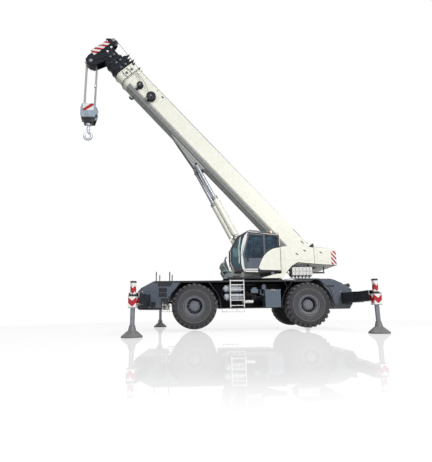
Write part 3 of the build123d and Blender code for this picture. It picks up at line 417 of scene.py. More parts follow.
PAINTS = {
    "carrier_paint": dict(colour=SLATE, wear=0.6, dirt=0.35),
    "skirt_paint": dict(colour=SKIRT, wear=0.6, dirt=0.12, coat=0.0, gloss=0.15),
    "chassis_paint": dict(colour=CHASSIS, rough=0.5, wear=0.5, dirt=0.4, coat=0.1),
    "cream_paint": dict(colour=CREAM, wear=0.35, dirt=0.1, worn=WORN_CREAM),
    "boom_dark": dict(colour=NIGHT, rough=0.34, wear=0.5, dirt=0.0, worn=(0.16, 0.19, 0.23), coat=0.05, gloss=0.2),
    "rim_paint": dict(colour=RIM, rough=0.45, wear=0.6, dirt=0.6),
    "beam_paint": dict(colour=BEAM, rough=0.38, wear=0.5, dirt=0.15),
    "tank_paint": dict(colour=(0.44, 0.48, 0.53), rough=0.35, wear=0.4, dirt=0.3),
    "box_paint": dict(colour=(0.115, 0.145, 0.19), rough=0.42, wear=0.5, dirt=0.4),
    "ladder_paint": dict(colour=(0.72, 0.72, 0.70), rough=0.42, wear=0.8, dirt=0.35),
    "reel_paint": dict(colour=(0.010, 0.012, 0.018), rough=0.25, wear=0.4, dirt=0.0, coat=0.2),
    # painted shade: grey-green standing in for the cream turret frame in shadow; the front gear takes it too
    "turret_grey": dict(colour=(0.16, 0.19, 0.185), rough=0.45, wear=0.4, dirt=0.1, coat=0.1),
    "white_paint": dict(colour=WHITE, wear=0.3, dirt=0.1),
    "black_plastic": dict(colour=BLACK, rough=0.55, wear=0.1, dirt=0.15, coat=0.0),
    "shadow_black": dict(colour=(0.004, 0.004, 0.005), rough=0.9, wear=0.0, dirt=0.0, coat=0.0, gloss=0.08),
    "black_paint": dict(colour=(0.012, 0.013, 0.018), rough=0.42, wear=0.4, dirt=0.2, coat=0.1),
    "float_paint": dict(colour=FLOAT_GREY, rough=0.45, wear=0.6, dirt=0.2, coat=0.1),
}
METALS = {
    "hook_steel": dict(colour=(0.50, 0.52, 0.57), rough=0.42, dark=(0.10, 0.10, 0.11)),
    "sheave_steel": dict(colour=(0.20, 0.21, 0.23), rough=0.42, grease=0.6),
    "rope_steel": dict(colour=(0.13, 0.13, 0.14), rough=0.45, grain=700.0, grease=0.5),
    "ring_steel": dict(colour=(0.24, 0.24, 0.25), rough=0.42, grease=0.6),
    "engine_iron": dict(colour=(0.12, 0.13, 0.14), rough=0.6, grain=200.0, grease=0.7),
    "bolt_steel": dict(colour=(0.30, 0.30, 0.32), rough=0.4),
}
LOOKS = {name: Shader(name).paint(**look) for name, look in PAINTS.items()}
LOOKS |= {name: metal(name, **look) for name, look in METALS.items()}
LOOKS |= {
    "hook_paint": block_paint(), "tyre": tyre_rubber(), "rod_chrome": rod_metal(), "jack_paint": jack_paint(),
    "glass": glass(), "seat_fabric": cloth_material(), "deck_tread": tread_plate(), "cab_paint": cab_paint(),
    "boom_paint": boom_paint(), "cream_weight": counterweight_paint(), "board_paint": board_paint(),
    "block_board": block_board(), "hose": rubber("hose_rubber", BLACK, 0.5),
    "turret_hose": rubber("turret_hose", (0.30, 0.39, 0.39), 0.40),
    "amber_lens": lamp("amber_lens", (0.9, 0.28, 0.02), 0.25),
    "red_lens": lamp("red_lens", (0.6, 0.02, 0.015), 0.1),
    "clear_lens": lamp("clear_lens", (0.75, 0.78, 0.80), 0.15),
}
# the turret frame takes turret_grey, a painted shade for cream in shadow
OWN_LOOKS = {"deck": "deck_tread", "cab_shell": "cab_paint", "turret_frame": "turret_grey",
             "counterweight": "cream_weight", "boom_base": "boom_paint"}   # nodes that don't take their slot's look

for item in frame["record"]["subparts"]:
    node = frame["nodes"][item["node"]]
    node.data.materials.clear()
    node.data.materials.append(LOOKS[OWN_LOOKS.get(item["node"], item["material_slot"])])


# ---- Added pieces: small forms in a chosen frame -----------------------------------------
def circle(count, points=None):
    """Angles evenly round a circle."""
    return [2 * pi * n / count for n in range(points or count)]


def about(axis, along, radius, turn):
    """A point at a turn about an axis through the origin."""
    a, b = radius * cos(turn), radius * sin(turn)
    return {"X": (along, a, b), "Y": (a, along, b), "Z": (a, b, along)}[axis]


class Piece:
    """One added mesh with one material, drawn in its own frame and carried by one body."""

    def __init__(self, name, body, look, frame=ON_TURRET, bevel=0.003, local=False):
        self.name, self.body, self.look = name, body, LOOKS[look]
        self.frame, self.bevel, self.local = frame, bevel, local
        self.mesh = bmesh.new()

    def skin(self, rings, caps=True):
        """Join rings of points with quads, and close both ends."""
        rows = [[self.mesh.verts.new(point) for point in ring] for ring in rings]
        count = len(rows[0])
        for one, two in zip(rows, rows[1:]):
            for n in range(count):
                m = (n + 1) % count
                self.mesh.faces.new((one[n], one[m], two[m], two[n]))
        if caps:
            self.mesh.faces.new(list(reversed(rows[0])))
            self.mesh.faces.new(rows[-1])
        return self

    def box(self, x0, x1, y0, y1, z0, z1):
        return self.skin([[(x, y0, z0), (x, y1, z0), (x, y1, z1), (x, y0, z1)] for x in (x0, x1)])

    def boxes(self, *rows):
        for row in rows:
            self.box(*row)
        return self

    def plate(self, outline, y0, y1):
        """A side outline of (x, z) points between two widths."""
        return self.skin([[(x, y, z) for x, z in outline] for y in (y0, y1)])

    def tube(self, path, radius, sides=12):
        """A round bar or hose along points."""
        points = [Vector(p) for p in path]
        steps = [(b - a).normalized() for a, b in zip(points, points[1:])]
        side = steps[0].orthogonal().normalized()
        rings = []
        for n, point in enumerate(points):
            before, after = steps[max(n - 1, 0)], steps[min(n, len(steps) - 1)]
            along = (before + after).normalized()
            side = (side - along * side.dot(along)).normalized()
            other = along.cross(side)
            rings.append([point + (side * cos(t) + other * sin(t)) * radius for t in circle(sides)])
        return self.skin(rings)

    def hose(self, path, radius, sides=10):
        """A tube along a smooth curve through points."""
        knots = [Vector(p) for p in (path[0], *path, path[-1])]
        points = []
        for a, b, c, d in zip(knots, knots[1:], knots[2:], knots[3:]):
            for n in range(HOSE_CUTS):
                t = n / HOSE_CUTS
                points.append(0.5 * (2 * b + (c - a) * t + (2 * a - 5 * b + 4 * c - d) * t * t
                                     + (3 * b - a - 3 * c + d) * t ** 3))
        return self.tube([*points, knots[-1]], radius, sides)

    def lathe(self, outline, at=(0, 0, 0), axis="Y", sides=40):
        """A closed outline of (radius, along) points turned about an axis; radius 0 stands for TIP."""
        rings = [[Vector(at) + Vector(about(axis, along, radius or TIP, t)) for t in circle(sides)]
                 for radius, along in outline]
        return self.skin(rings + [rings[0]], caps=False)

    def bolts(self, places, axis, radius, height, sides=6):
        """Hexagon heads standing on points, along an axis."""
        for at in places:
            self.lathe([(0, 0), (radius, 0), (radius, height), (radius * 0.7, height * 1.2),
                (0, height * 1.2)], at, axis, sides)
        return self

    def done(self, slot=None):
        """Finish the mesh; a local piece keeps its own frame, which its stripes are drawn in."""
        if not self.local:
            bmesh.ops.transform(self.mesh, matrix=self.frame, verts=self.mesh.verts)
        bmesh.ops.remove_doubles(self.mesh, verts=self.mesh.verts, dist=1e-5)
        bmesh.ops.recalc_face_normals(self.mesh, faces=self.mesh.faces)
        for face in self.mesh.faces:
            face.smooth = True
        for edge in self.mesh.edges:
            edge.smooth = len(edge.link_faces) == 2 and edge.calc_face_angle(0) < radians(32)
        data = bpy.data.meshes.new(self.name)
        self.mesh.to_mesh(data)
        self.mesh.free()
        data.materials.append(self.look)
        thing = bpy.data.objects.new(self.name, data)
        thing.matrix_world = self.frame if self.local else Matrix.Identity(4)
        bpy.context.scene.collection.objects.link(thing)
        if self.bevel:
            soft = thing.modifiers.new("soft_edges", "BEVEL")
            soft.width = self.bevel
            soft.segments = 2
            soft.limit_method = "ANGLE"
            soft.harden_normals = True
        if self.body:
            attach(thing, self.body)
        return thing


def at_width(y, *points):
    """Points (x, z) at one distance from the middle plane."""
    return [(x, y, z) for x, z in points]


def widths(way, near, far):
    """Two distances from the middle plane, in rising order on either side."""
    return sorted((way * near, way * far))


def ring_places(count, radius, at=(0, 0, 0), axis="Y"):
    """Points evenly round a circle about an axis."""
    for turn in circle(count):
        yield tuple(p + q for p, q in zip(at, about(axis, 0, radius, turn)))


# ---- Wheels: tyre with lugs, rim ring, hub and nuts ----------------------------------------
LUGS = 26
TYRE_OUTLINE = ((0.318, 0.205), (0.322, 0.25), (0.345, 0.263), (0.388, 0.266), (0.4, 0.284), (0.43, 0.298),
    (0.47, 0.311), (0.476, 0.316), (0.486, 0.317), (0.492, 0.314), (0.545, 0.325), (0.552, 0.33),
    (0.566, 0.331), (0.574, 0.327), (0.64, 0.333), (0.668, 0.332), (0.675, 0.329), (0.7, 0.328),
    (0.735, 0.32), (0.772, 0.304), (0.802, 0.282), (0.818, 0.255), (0.826, 0.2), (0.83, 0.1), (0.831, 0.0))
LUG_STATIONS = ((0.012, 0.8745, 0.8, 0.0, 0.05), (0.12, 0.8735, 0.8, 0.045, 0.052),
    (0.215, 0.871, 0.8, 0.095, 0.056), (0.276, 0.864, 0.79, 0.122, 0.06), (0.306, 0.84, 0.77, 0.128, 0.06),
    (0.325, 0.79, 0.75, 0.128, 0.056), (0.331, 0.745, 0.72, 0.128, 0.048), (0.327, 0.712, 0.7, 0.128, 0.04))


def build_tyre(name, centre, body):
    tyre = Piece(f"{name}_tread", body, "tyre", Matrix.Translation(centre), 0.0035)
    half = [(r, y) for r, y in TYRE_OUTLINE]
    tyre.lathe(half + [(r, -y) for r, y in reversed(half[:-1])], sides=112)
    for way in (1, -1):
        for n in range(LUGS):
            start = 2 * pi * (n + (0.5 if way < 0 else 0)) / LUGS
            rings = []
            for y, top, base, lean, half_width in LUG_STATIONS:
                ring = []
                for radius, side in ((base, -1.15), (top, -1), (top, 1), (base, 1.15)):
                    turn = start + lean + side * half_width / 0.86
                    depth = y - (0.035 if radius == base and y > 0.29 else 0)
                    ring.append((radius * cos(turn), way * depth, radius * sin(turn)))
                rings.append(ring)
            tyre.skin(rings)
    thing = tyre.done("tyre")
    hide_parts(f"tyre_{name}")


def build_wheel(end, side, way):
    name, body = f"{end}_{side}", f"wheel_{end}_{side}"
    centre = JOINTS[f"roll_{name}"]["pos_m"]
    build_tyre(name, centre, body)
    face = Matrix.Translation(centre) @ Matrix.Diagonal((1, way, 1, 1))
    rim = Piece(f"{name}_rim_ring", body, "rim_paint", face, 0.0025)
    rim.lathe([(0.3155, 0.2), (0.3155, 0.284), (0.38, 0.284), (0.384, 0.289), (0.376, 0.294), (0.325, 0.29),
        (0.305, 0.272), (0.296, 0.24), (0.283, 0.222), (0.277, 0.15), (0.282, 0.15),
        (0.292, 0.215)], sides=72)
    rim.lathe([(0, 0.06), (0.205, 0.06), (0.205, 0.15), (0.196, 0.162), (0.172, 0.166), (0.168, 0.186),
        (0.156, 0.196), (0.07, 0.204), (0.066, 0.212), (0, 0.214)], sides=56)
    rim.done("rim_paint")
    recess = Piece(f"{name}_rim_recess", body, "shadow_black", face, 0.0015)
    recess.lathe([(0.204, 0.055), (0.204, 0.075), (0.276, 0.082), (0.279, 0.148), (0.314, 0.15),
        (0.314, 0.055)], sides=56)
    recess.done()
    nuts = Piece(f"{name}_wheel_nuts", body, "bolt_steel", face, 0.001)
    nuts.bolts(ring_places(20, 0.236, (0, 0.076, 0)), "Y", 0.017, 0.026)
    nuts.bolts(ring_places(14, 0.182, (0, 0.158, 0)), "Y", 0.009, 0.012)
    nuts.bolts(ring_places(3, 0.04, (0, 0.212, 0)), "Y", 0.008, 0.006)
    nuts.tube([(0.262, 0.09, 0.06), (0.266, 0.15, 0.062), (0.268, 0.2, 0.068)], 0.007)
    nuts.done()


for end, side, way in CORNERS:
    build_wheel(end, side, way)


# ---- Outriggers: wear pads, jack collars, float pins --------------------------------------
def build_outrigger(end, side, way):
    name = f"{end}_{side}"
    low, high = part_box(f"jack_{name}")
    at = Matrix.Translation(((low.x + high.x) / 2, way * (abs(low.y) + abs(high.y)) / 2, 0))
    at = at @ Matrix.Diagonal((1, way, 1, 1))
    fixed = Piece(f"{name}_box_mouth", "carrier", "chassis_paint", at)
    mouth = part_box(f"beam_first_{name}")
    outer = CARRIER_HALF - JACK_REACH
    half_x, half_z = (mouth[1].x - mouth[0].x) / 2, (mouth[1].z - mouth[0].z) / 2
    top, bottom = BEAM_HEIGHT + half_z, BEAM_HEIGHT - half_z
    for x0, x1, z0, z1 in (
            (-half_x - 0.03, -half_x - 0.004, 0.98, 1.45), (half_x + 0.004, half_x + 0.03, 0.98, 1.45),
            (-half_x - 0.03, half_x + 0.03, top + 0.004, top + 0.03),
            (-half_x - 0.03, half_x + 0.03, bottom - 0.03, bottom - 0.004)):
        fixed.box(x0, x1, outer - 0.012, outer + 0.022, z0, z1)
    edges = (bottom - 0.017, top + 0.017)
    fixed.bolts([(x, outer + 0.022, z) for x in (-0.165, 0, 0.165) for z in edges], "Y", 0.01, 0.008)
    fixed.done("chassis_paint")
    housing = Piece(f"{name}_jack_trim", f"beam_second_{name}", "chassis_paint", at)
    housing.lathe([(0.075, 1.7505), (0.098, 1.7505), (0.101, 1.7), (0.093, 1.7), (0.093, 1.7495)], axis="Z")
    housing.lathe([(0.0925, 1.286), (0.116, 1.286), (0.118, 1.318), (0.11, 1.33), (0.0925, 1.33)], axis="Z")
    for s in (-1, 1):
        housing.boxes((-0.127, 0.127, s * 0.126 - 0.004, s * 0.126 + 0.004, 1.262, 1.29),
            (-0.127, 0.127, s * 0.126 - 0.004, s * 0.126 + 0.004, 0.905, 0.918),
            (s * 0.126 - 0.004, s * 0.126 + 0.004, -0.127, 0.127, 1.262, 1.29))
    housing.bolts(ring_places(8, 0.104, (0, 0, 1.328), "Z"), "Z", 0.008, 0.007)
    housing.done("chassis_paint")
    foot = Piece(f"{name}_float_gear", f"jack_{name}", "float_paint", at)
    foot.bolts(ring_places(8, 0.2, (0, 0, 0.15), "Z"), "Z", 0.012, 0.014)
    foot.tube([(0, -0.1, 0.33), (0, 0.1, 0.33)], 0.016)
    foot.done("jack_paint")


for end, side, way in CORNERS:
    build_outrigger(end, side, way)


# ---- Carrier ---------------------------------------------------------------------------------
def build_carrier_sides():
    for side, way in SIDES:
        flip = ON_TURRET @ Matrix.Diagonal((1, way, 1, 1))
        step = Piece(f"{side}_low_steps", "carrier", "ladder_paint", flip)
        step.box(0.27, 0.99, 1.385, 1.492, 0.728, 0.748)
        for x in (0.285, 0.5, 0.76, 0.975):
            step.box(x - 0.008, x + 0.008, 1.434, 1.446, 0.748, 0.885)
        for z in (0.775, 1.03):
            step.box(3.14, 3.455, 1.34, 1.44, z - 0.01, z + 0.01)
        for x in (3.25, 3.3, 3.43):
            step.box(x - 0.01, x + 0.01, 1.38, 1.4, 0.785, 1.22)
        for x in (0.29, 0.82):
            step.tube([(x, 1.475, 1.96), (x, 1.475, 1.975), (x, 1.46, 1.985), (x, 1.41, 1.985),
                (x, 1.4, 1.952)], 0.012)
        step.done("ladder_paint")
        edge = Piece(f"{side}_deck_edge", "carrier", "black_paint", flip, 0.004)
        edge.box(-1.27, 3.735, 1.4505, 1.462, 1.885, 1.9515)
        edge.tube(at_width(1.4535, (-2.755, 1.905), (-2.75, 1.962), (-2.695, 1.985), (-1.785, 2.002),
            (-1.62, 1.99), (-1.3, 1.963), (-1.285, 1.905)), 0.012)
        edge.hose(at_width(1.4535, (-2.755, 1.9), (-3.0, 1.7), (-3.16, 1.48), (-3.21, 1.22)), 0.014)
        edge.hose(at_width(1.4535, (-1.29, 1.9), (-1.41, 1.7), (-1.34, 1.48), (-1.215, 1.2), (-1.2, 0.9)),
            0.012)
        edge.hose(at_width(1.4535, (2.74, 1.9), (2.9, 1.695), (3.08, 1.48), (3.2, 1.2)), 0.016)
        edge.hose(at_width(1.4535, (1.66, 1.89), (1.52, 1.7), (1.35, 1.48), (1.23, 1.2), (1.2, 0.9)), 0.012)
        edge.done()
        hood = Piece(f"{side}_front_panels", "carrier", "carrier_paint", flip)
        for x0, x1, z0, z1 in ((3.235, 3.275, 1.29, 1.72), (3.59, 3.63, 1.29, 1.72),
                (3.275, 3.59, 1.29, 1.33), (3.275, 3.59, 1.68, 1.72), (3.63, 4.26, 1.5, 1.525),
                (3.52, 3.545, 0.93, 1.29), (3.275, 3.59, 1.5, 1.52)):
            hood.box(x0, x1, 1.4505, 1.463, z0, z1)
        hood.plate([(3.69, 1.56), (3.69, 1.88), (3.78, 1.88), (4.2, 1.69), (4.2, 1.56)], 1.4505, 1.457)
        hood.plate([(4.355, 0.93), (4.355, 1.56), (4.44, 1.45), (4.44, 1.02)], 1.4505, 1.455)
        hood.done("carrier_paint")
        # painted shade: near-black sheets, slats and slots standing in for the flank's recesses and openings
        dark = Piece(f"{side}_front_recesses", "carrier", "black_paint", flip, 0.002)
        dark.boxes((3.275, 3.59, 1.4505, 1.454, 1.33, 1.5), (3.275, 3.59, 1.4505, 1.454, 1.52, 1.68))
        dark.plate([(3.12, 1.74), (3.06, 1.885), (3.62, 1.885), (3.62, 1.74)], 1.4505, 1.455)
        for z in (1.36, 1.4, 1.44, 1.55, 1.59, 1.63):
            dark.box(3.3, 3.56, 1.454, 1.46, z, z + 0.018)
        dark.box(3.7, 3.88, 1.4505, 1.454, 0.945, 1.15)
        dark.plate([(3.15, 1.3), (3.22, 1.3), (3.22, 1.0), (3.45, 1.2), (3.45, 0.95), (3.5, 0.95),
            (3.5, 1.26), (3.22, 1.38)], 1.4505, 1.455)
        dark.plate([(3.46, 0.862), (3.46, 0.93), (4.3, 0.93), (4.42, 1.0), (4.45, 0.985),
            (4.325, 0.862)], 1.4505, 1.459)
        dark.box(-3.3, -3.0, 1.4505, 1.456, 1.66, 1.72)
        for n in range(6):
            dark.box(-3.36 + n * 0.045, -3.34 + n * 0.045, 1.4505, 1.456, 0.9, 0.96)
        dark.done()
        bolts = Piece(f"{side}_panel_bolts", "carrier", "bolt_steel", flip, 0.001)
        bolts.bolts([(x, 1.463, z) for x in (3.255, 3.61) for z in (1.31, 1.7)], "Y", 0.009, 0.006)
        bolts.bolts([(x, 1.4505, z) for x in (3.5, 3.72, 3.94, 4.16, 4.38) for z in (0.95, 1.46)], "Y",
            0.009, 0.006)
        bolts.bolts([(x, 1.4505, 1.02) for x in (-3.52, -3.72, -3.92)], "Y", 0.01, 0.007)
        bolts.done()
        lights = Piece(f"{side}_marker_lamps", "carrier", "red_lens", flip, 0.002)
        for x, z in ((4.2, 1.545), (-3.55, 1.46)):
            lights.lathe([(0, 1.452), (0.022, 1.452), (0.02, 1.462), (0, 1.466)], (x, 0, z), "Y", 20)
        lights.done()


def build_slot_shade():
    """Near-black sheets of painted shade that close the slot between the frame's rails and the deck."""
    slot_shade = Piece("deck_slot_shade", "carrier", "shadow_black")
    for y in (-0.42, 0.4):
        slot_shade.box(-2.7, 3.68, y, y + 0.02, 1.782, 1.898)
    for side, way in SIDES:
        slot_shade.box(-2.7, 3.68, *widths(way, 0.44, 1.3), 1.89, 1.8985)
    slot_shade.done("chassis_paint")


def build_carrier_ends():
    nose = Piece("nose_fittings", "carrier", "chassis_paint")
    nose.boxes((4.461, 4.475, -1.2, 1.2, 1.03, 1.1), (4.461, 4.48, -0.34, 0.34, 1.16, 1.38))
    for y in (-0.62, 0.62):
        nose.plate([(4.461, 1.02), (4.461, 1.14), (4.5, 1.14), (4.52, 1.11), (4.52, 1.05),
            (4.5, 1.02)], y - 0.02, y + 0.02)
    nose.plate([(-3.985, 0.98), (-3.985, 1.2), (-4.03, 1.19), (-4.06, 1.12), (-4.06, 1.03),
        (-4.02, 0.98)], -0.09, 0.09)
    nose.box(-4.005, -3.991, -1.36, 1.36, 1.4, 1.54)
    for n in range(9):
        nose.box(-3.998, -3.99, -0.8 + n * 0.18, -0.68 + n * 0.18, 1.05, 1.3)
    nose.done("chassis_paint")
    clear = Piece("head_lamps", "carrier", "clear_lens")
    tail = Piece("tail_lamps", "carrier", "red_lens")
    amber = Piece("turn_lamps", "carrier", "amber_lens")
    for y in (-1.12, 1.12):
        clear.lathe([(0, 4.461), (0.085, 4.461), (0.088, 4.48), (0.08, 4.492), (0, 4.5)], (0, y, 1.3),
            "X", 32)
        clear.lathe([(0, 4.461), (0.06, 4.461), (0.06, 4.478), (0, 4.486)], (0, y * 0.82, 1.28), "X", 28)
        amber.box(4.461, 4.476, y * 1.125 - 0.07, y * 1.125 + 0.07, 1.24, 1.33)
        tail.box(-4.018, -4.005, y - 0.09, y + 0.09, 1.42, 1.52)
        amber.box(-4.018, -4.005, y * 0.84 - 0.05, y * 0.84 + 0.05, 1.42, 1.52)
    for piece in (clear, tail, amber):
        piece.done()
    bracket = Piece("tail_bracket", "carrier", "black_paint")
    for way in (-1, 1):
        y0, y1 = widths(way, 1.2, 1.4)
        bracket.plate([(-3.7, 1.765), (-3.87, 1.665), (-3.96, 1.655), (-3.96, 1.74), (-3.9, 1.8),
            (-3.82, 1.74)], y0, y1)
        bracket.tube(at_width(way * 1.3, (-3.72, 1.745), (-3.66, 1.81), (-3.3, 1.96), (-3.1, 1.99)), 0.016)
    bracket.lathe([(0.035, 1.95), (0.075, 1.95), (0.075, 2.06), (0.066, 2.085), (0.05, 2.085),
        (0.05, 1.97)], (-3.05, -0.9, 0), "Z")
    for n in range(10):
        bracket.box(-3.36 + n * 0.048, -3.335 + n * 0.048, -0.62, 0.62, 1.895 + n * 0.012, 1.925 + n * 0.012)
    bracket.done()


def build_bay():
    tanks = Piece("tank_straps", "carrier", "bolt_steel")
    for x, z in ((0.92, 1.64), (0.48, 1.64), (0.89, 1.31), (0.45, 1.31)):
        tanks.lathe([(0.1405, x - 0.018), (0.1445, x - 0.018), (0.1445, x + 0.018),
            (0.1405, x + 0.018)], (0, 1.25, z), "X", 32)
    for x0, z in ((1.085, 1.64), (1.055, 1.31)):
        tanks.lathe([(0, x0 - 0.01), (0.018, x0 - 0.01), (0.018, x0 + 0.03), (0, x0 + 0.03)], (0, 1.25, z),
            "X", 8)
    tanks.done()
    tanks = Piece("filter_ribs", "carrier", "white_paint")
    tanks.lathe([(0.0602, -0.078), (0.0615, -0.078), (0.0615, 0.328), (0.0602, 0.328)], (0, 1.33, 1.12),
        "X", 28)
    for n in range(9):
        tanks.lathe([(0.0605, -0.05 + n * 0.042), (0.064, -0.05 + n * 0.042), (0.064, -0.036 + n * 0.042),
            (0.0605, -0.036 + n * 0.042)], (0, 1.33, 1.12), "X", 24)
    tanks.done()
    pale = Piece("bay_valves", "carrier", "box_paint")
    pale.boxes((-0.3, -0.02, 1.12, 1.24, 1.46, 1.62), (-0.24, -0.08, 1.1, 1.22, 1.62, 1.68))
    pale.lathe([(0, 1.4), (0.028, 1.4), (0.028, 1.44), (0.045, 1.44), (0.045, 1.6),
        (0, 1.61)], (-0.42, 1.16, 0), "Z", 20)
    pale.tube([(-0.36, 1.36, 1.4), (-0.52, 1.36, 1.38)], 0.016)
    pale.lathe([(0, 0.98), (0.035, 0.98), (0.04, 1.02), (0.04, 1.14), (0.03, 1.18),
        (0, 1.18)], (-0.68, 1.38, 0), "Z", 20)
    for x0 in (-0.3, -0.17):
        pale.box(x0, x0 + 0.03, 0.456, 1.13, 1.5, 1.56)
    pale.done("box_paint")
    plate = Piece("bay_bracket", "carrier", "carrier_paint")
    plate.plate([(-0.48, 1.32), (-0.48, 1.84), (-0.4, 1.84), (-0.4, 1.8), (-0.58, 1.8), (-0.58, 1.36),
        (-0.54, 1.32)], 1.3, 1.32)
    plate.boxes((-0.6, -0.44, 1.29, 1.33, 1.6, 1.76), (-0.52, -0.46, 0.456, 1.31, 1.68, 1.72))
    plate.done("carrier_paint")
    hoses = Piece("bay_hoses", "carrier", "hose")
    for n in range(6):
        drop, y = 0.05 * n, 1.1 - 0.1 * n
        hoses.hose([(-0.88, y, 1.62 - drop), (-0.6, y + 0.1, 1.4 - drop), (-0.3, y + 0.05, 1.3 - drop),
            (0.05, y + 0.1, 1.42 - drop), (0.24, y, 1.6 - drop)], 0.018)
    for n in range(3):
        hoses.hose([(-0.2 + 0.06 * n, 1.15, 1.46), (-0.19 + 0.06 * n, 1.2, 1.3), (-0.1, 1.22, 1.12),
            (-0.12, 1.1, 0.95)], 0.012)
    hoses.hose([(-0.42, 1.16, 1.4), (-0.44, 1.2, 1.2), (-0.58, 1.28, 1.05), (-0.68, 1.36, 0.985)], 0.012)
    hoses.hose(at_width(1.25, (1.08, 1.64), (1.13, 1.56), (1.12, 1.38), (1.06, 1.31)), 0.01)
    hoses.done()
    lid = Piece("tool_box_lid", "carrier", "box_paint")
    lid.boxes((-1.17, -0.56, 0.79, 1.452, 1.561, 1.585), (-0.9, -0.83, 1.457, 1.468, 1.5, 1.57),
        (-0.93, -0.8, 0.95, 1.35, 1.585, 1.6))
    lid.done("box_paint")
    latch = Piece("tool_box_latch", "carrier", "white_paint")
    latch.boxes((-0.93, -0.8, 1.4525, 1.462, 1.535, 1.572), (0.02, 0.12, -1.452, -1.447, 1.44, 1.47))
    latch.done()
    cap = Piece("fuel_cap", "carrier", "black_plastic")
    cap.lathe([(0, 1.501), (0.062, 1.501), (0.062, 1.52), (0.072, 1.52), (0.072, 1.548),
        (0, 1.552)], (0.55, -1.3, 0), "Z", 24)
    cap.done()


def build_deck():
    ring = Piece("ring_bolts", "carrier", "bolt_steel", ON_TURRET, 0.001)
    ring.bolts(ring_places(40, 0.69, (0, 0, 1.951), "Z"), "Z", 0.012, 0.016)
    ring.done()
    nets = Piece("post_caps", "carrier", "bolt_steel")
    for x in (3.25, 3.8):
        for y in (-0.6, 0.6):
            nets.lathe([(0.023, 1.955), (0.062, 1.955), (0.062, 1.972), (0.03, 1.985),
                (0.023, 1.985)], (x, y, 0), "Z", 24)
            nets.tube([(x - 0.05, y, 2.3), (x + 0.05, y, 2.3)], 0.006)
    nets.done()
    shaft = Piece("drive_shafts", "carrier", "chassis_paint")
    for way in (1, -1):
        shaft.tube([(way * 1.96, 0.06, 0.98), (way * 0.55, 0.06, 1.12)], 0.045, 20)
    shaft.box(-0.5, 0.5, -0.12, 0.26, 1.02, 1.262)
    for x, z in ((1.93, 0.983), (0.58, 1.117), (-1.93, 0.983), (-0.58, 1.117)):
        shaft.box(x - 0.035, x + 0.035, -0.01, 0.13, z - 0.07, z + 0.07)
    shaft.done("chassis_paint")
    crate = Piece("deck_boxes", "carrier", "carrier_paint")
    crate.box(2.35, 3.1, -1.3, -0.78, 1.9505, 1.999)
    crate.plate([(1.35, 1.9505), (1.35, 2.01), (1.9, 2.01), (1.95, 1.9505)], -1.38, -0.86)
    crate.done("carrier_paint")


build_carrier_sides()
build_slot_shade()
build_carrier_ends()
build_bay()
build_deck()


# ---- Superstructure --------------------------------------------------------------------------
def build_covers():
    marks = Piece("cover_latches_and_shade", "turret", "black_plastic")
    for x, z in ((-1.92, 3.02), (-2.24, 3.16), (-2.9, 3.08)):
        for way in (-1, 1):
            y0, y1 = widths(way, 1.3005, 1.312)
            marks.plate([(x - 0.075, z - 0.045), (x - 0.03, z - 0.06), (x + 0.06, z + 0.01),
                (x + 0.02, z + 0.03)], y0, y1)
    for way in (-1, 1):
        y = widths(way, 1.3005, 1.306)
        marks.boxes((-2.6385, -2.6265, *y, 2.6, 3.4), (-1.262, -1.246, *y, 2.1, 3.3))
        # painted shade: a dark tube along the side cover's lower edge stands in for the shade beneath that edge
        marks.tube(at_width(way * 1.3, (-1.33, 2.09), (-1.7, 2.52), (-1.95, 2.66), (-2.63, 2.59),
            (-3.52, 2.53)), 0.013)
        marks.hose([(-1.2, way * 1.3, 2.2), (-1.225, way * 1.302, 2.6), (-1.235, way * 1.302, 3.0),
            (-1.25, way * 1.3, 3.28)], 0.012)
    # painted shade: a dark wedge where the rope enters the cover
    marks.plate([(-2.42, 3.3), (-2.56, 3.42), (-2.62, 3.44), (-2.62, 3.27)], 1.3005, 1.308)
    for n in range(12):
        marks.box(-2.44 + n * 0.055, -2.405 + n * 0.055, 0.52, 1.12, 3.44 - n * 0.0064, 3.452 - n * 0.0064)
    marks.done()
    panel = Piece("cover_panels", "turret", "cream_paint")
    for way in (-1, 1):
        y = widths(way, 1.3005, 1.308)
        panel.plate([(-1.42, 2.34), (-1.42, 3.16), (-2.48, 3.3), (-2.48, 2.74), (-1.92, 2.78),
            (-1.68, 2.64)], *y)
        panel.plate([(-2.76, 2.72), (-2.76, 3.2), (-3.22, 3.15), (-3.22, 2.68)], *y)
    for y in (1.1, -1.1):
        panel.tube(at_width(y, (-2.75, 3.27), (-2.75, 3.34), (-3.3, 3.28), (-3.3, 3.205)), 0.016)
    panel.done("cream_paint")
    wedge = Piece("base_wedge", "turret", "cream_paint")
    wedge.plate([(-0.42, 2.03), (-0.55, 2.075), (-1.05, 2.2), (-1.45, 2.22), (-1.35, 2.09),
        (-1.2, 2.03)], 1.3815, 1.394)
    wedge.done("cream_paint")
    base = Piece("base_trim", "turret", "chassis_paint")
    base.bolts(ring_places(36, 0.55, (0, 0, 2.0855), "Z"), "Z", 0.014, 0.018)
    base.box(-1.19, 0.895, 1.3805, 1.386, 2.028, 2.085)
    for x in (-0.95, -0.2, 0.55):
        base.plate([(x - 0.15, 2.0855), (x - 0.11, 2.14), (x + 0.11, 2.14), (x + 0.15, 2.0855)], 1.05, 1.36)
    base.done("chassis_paint")


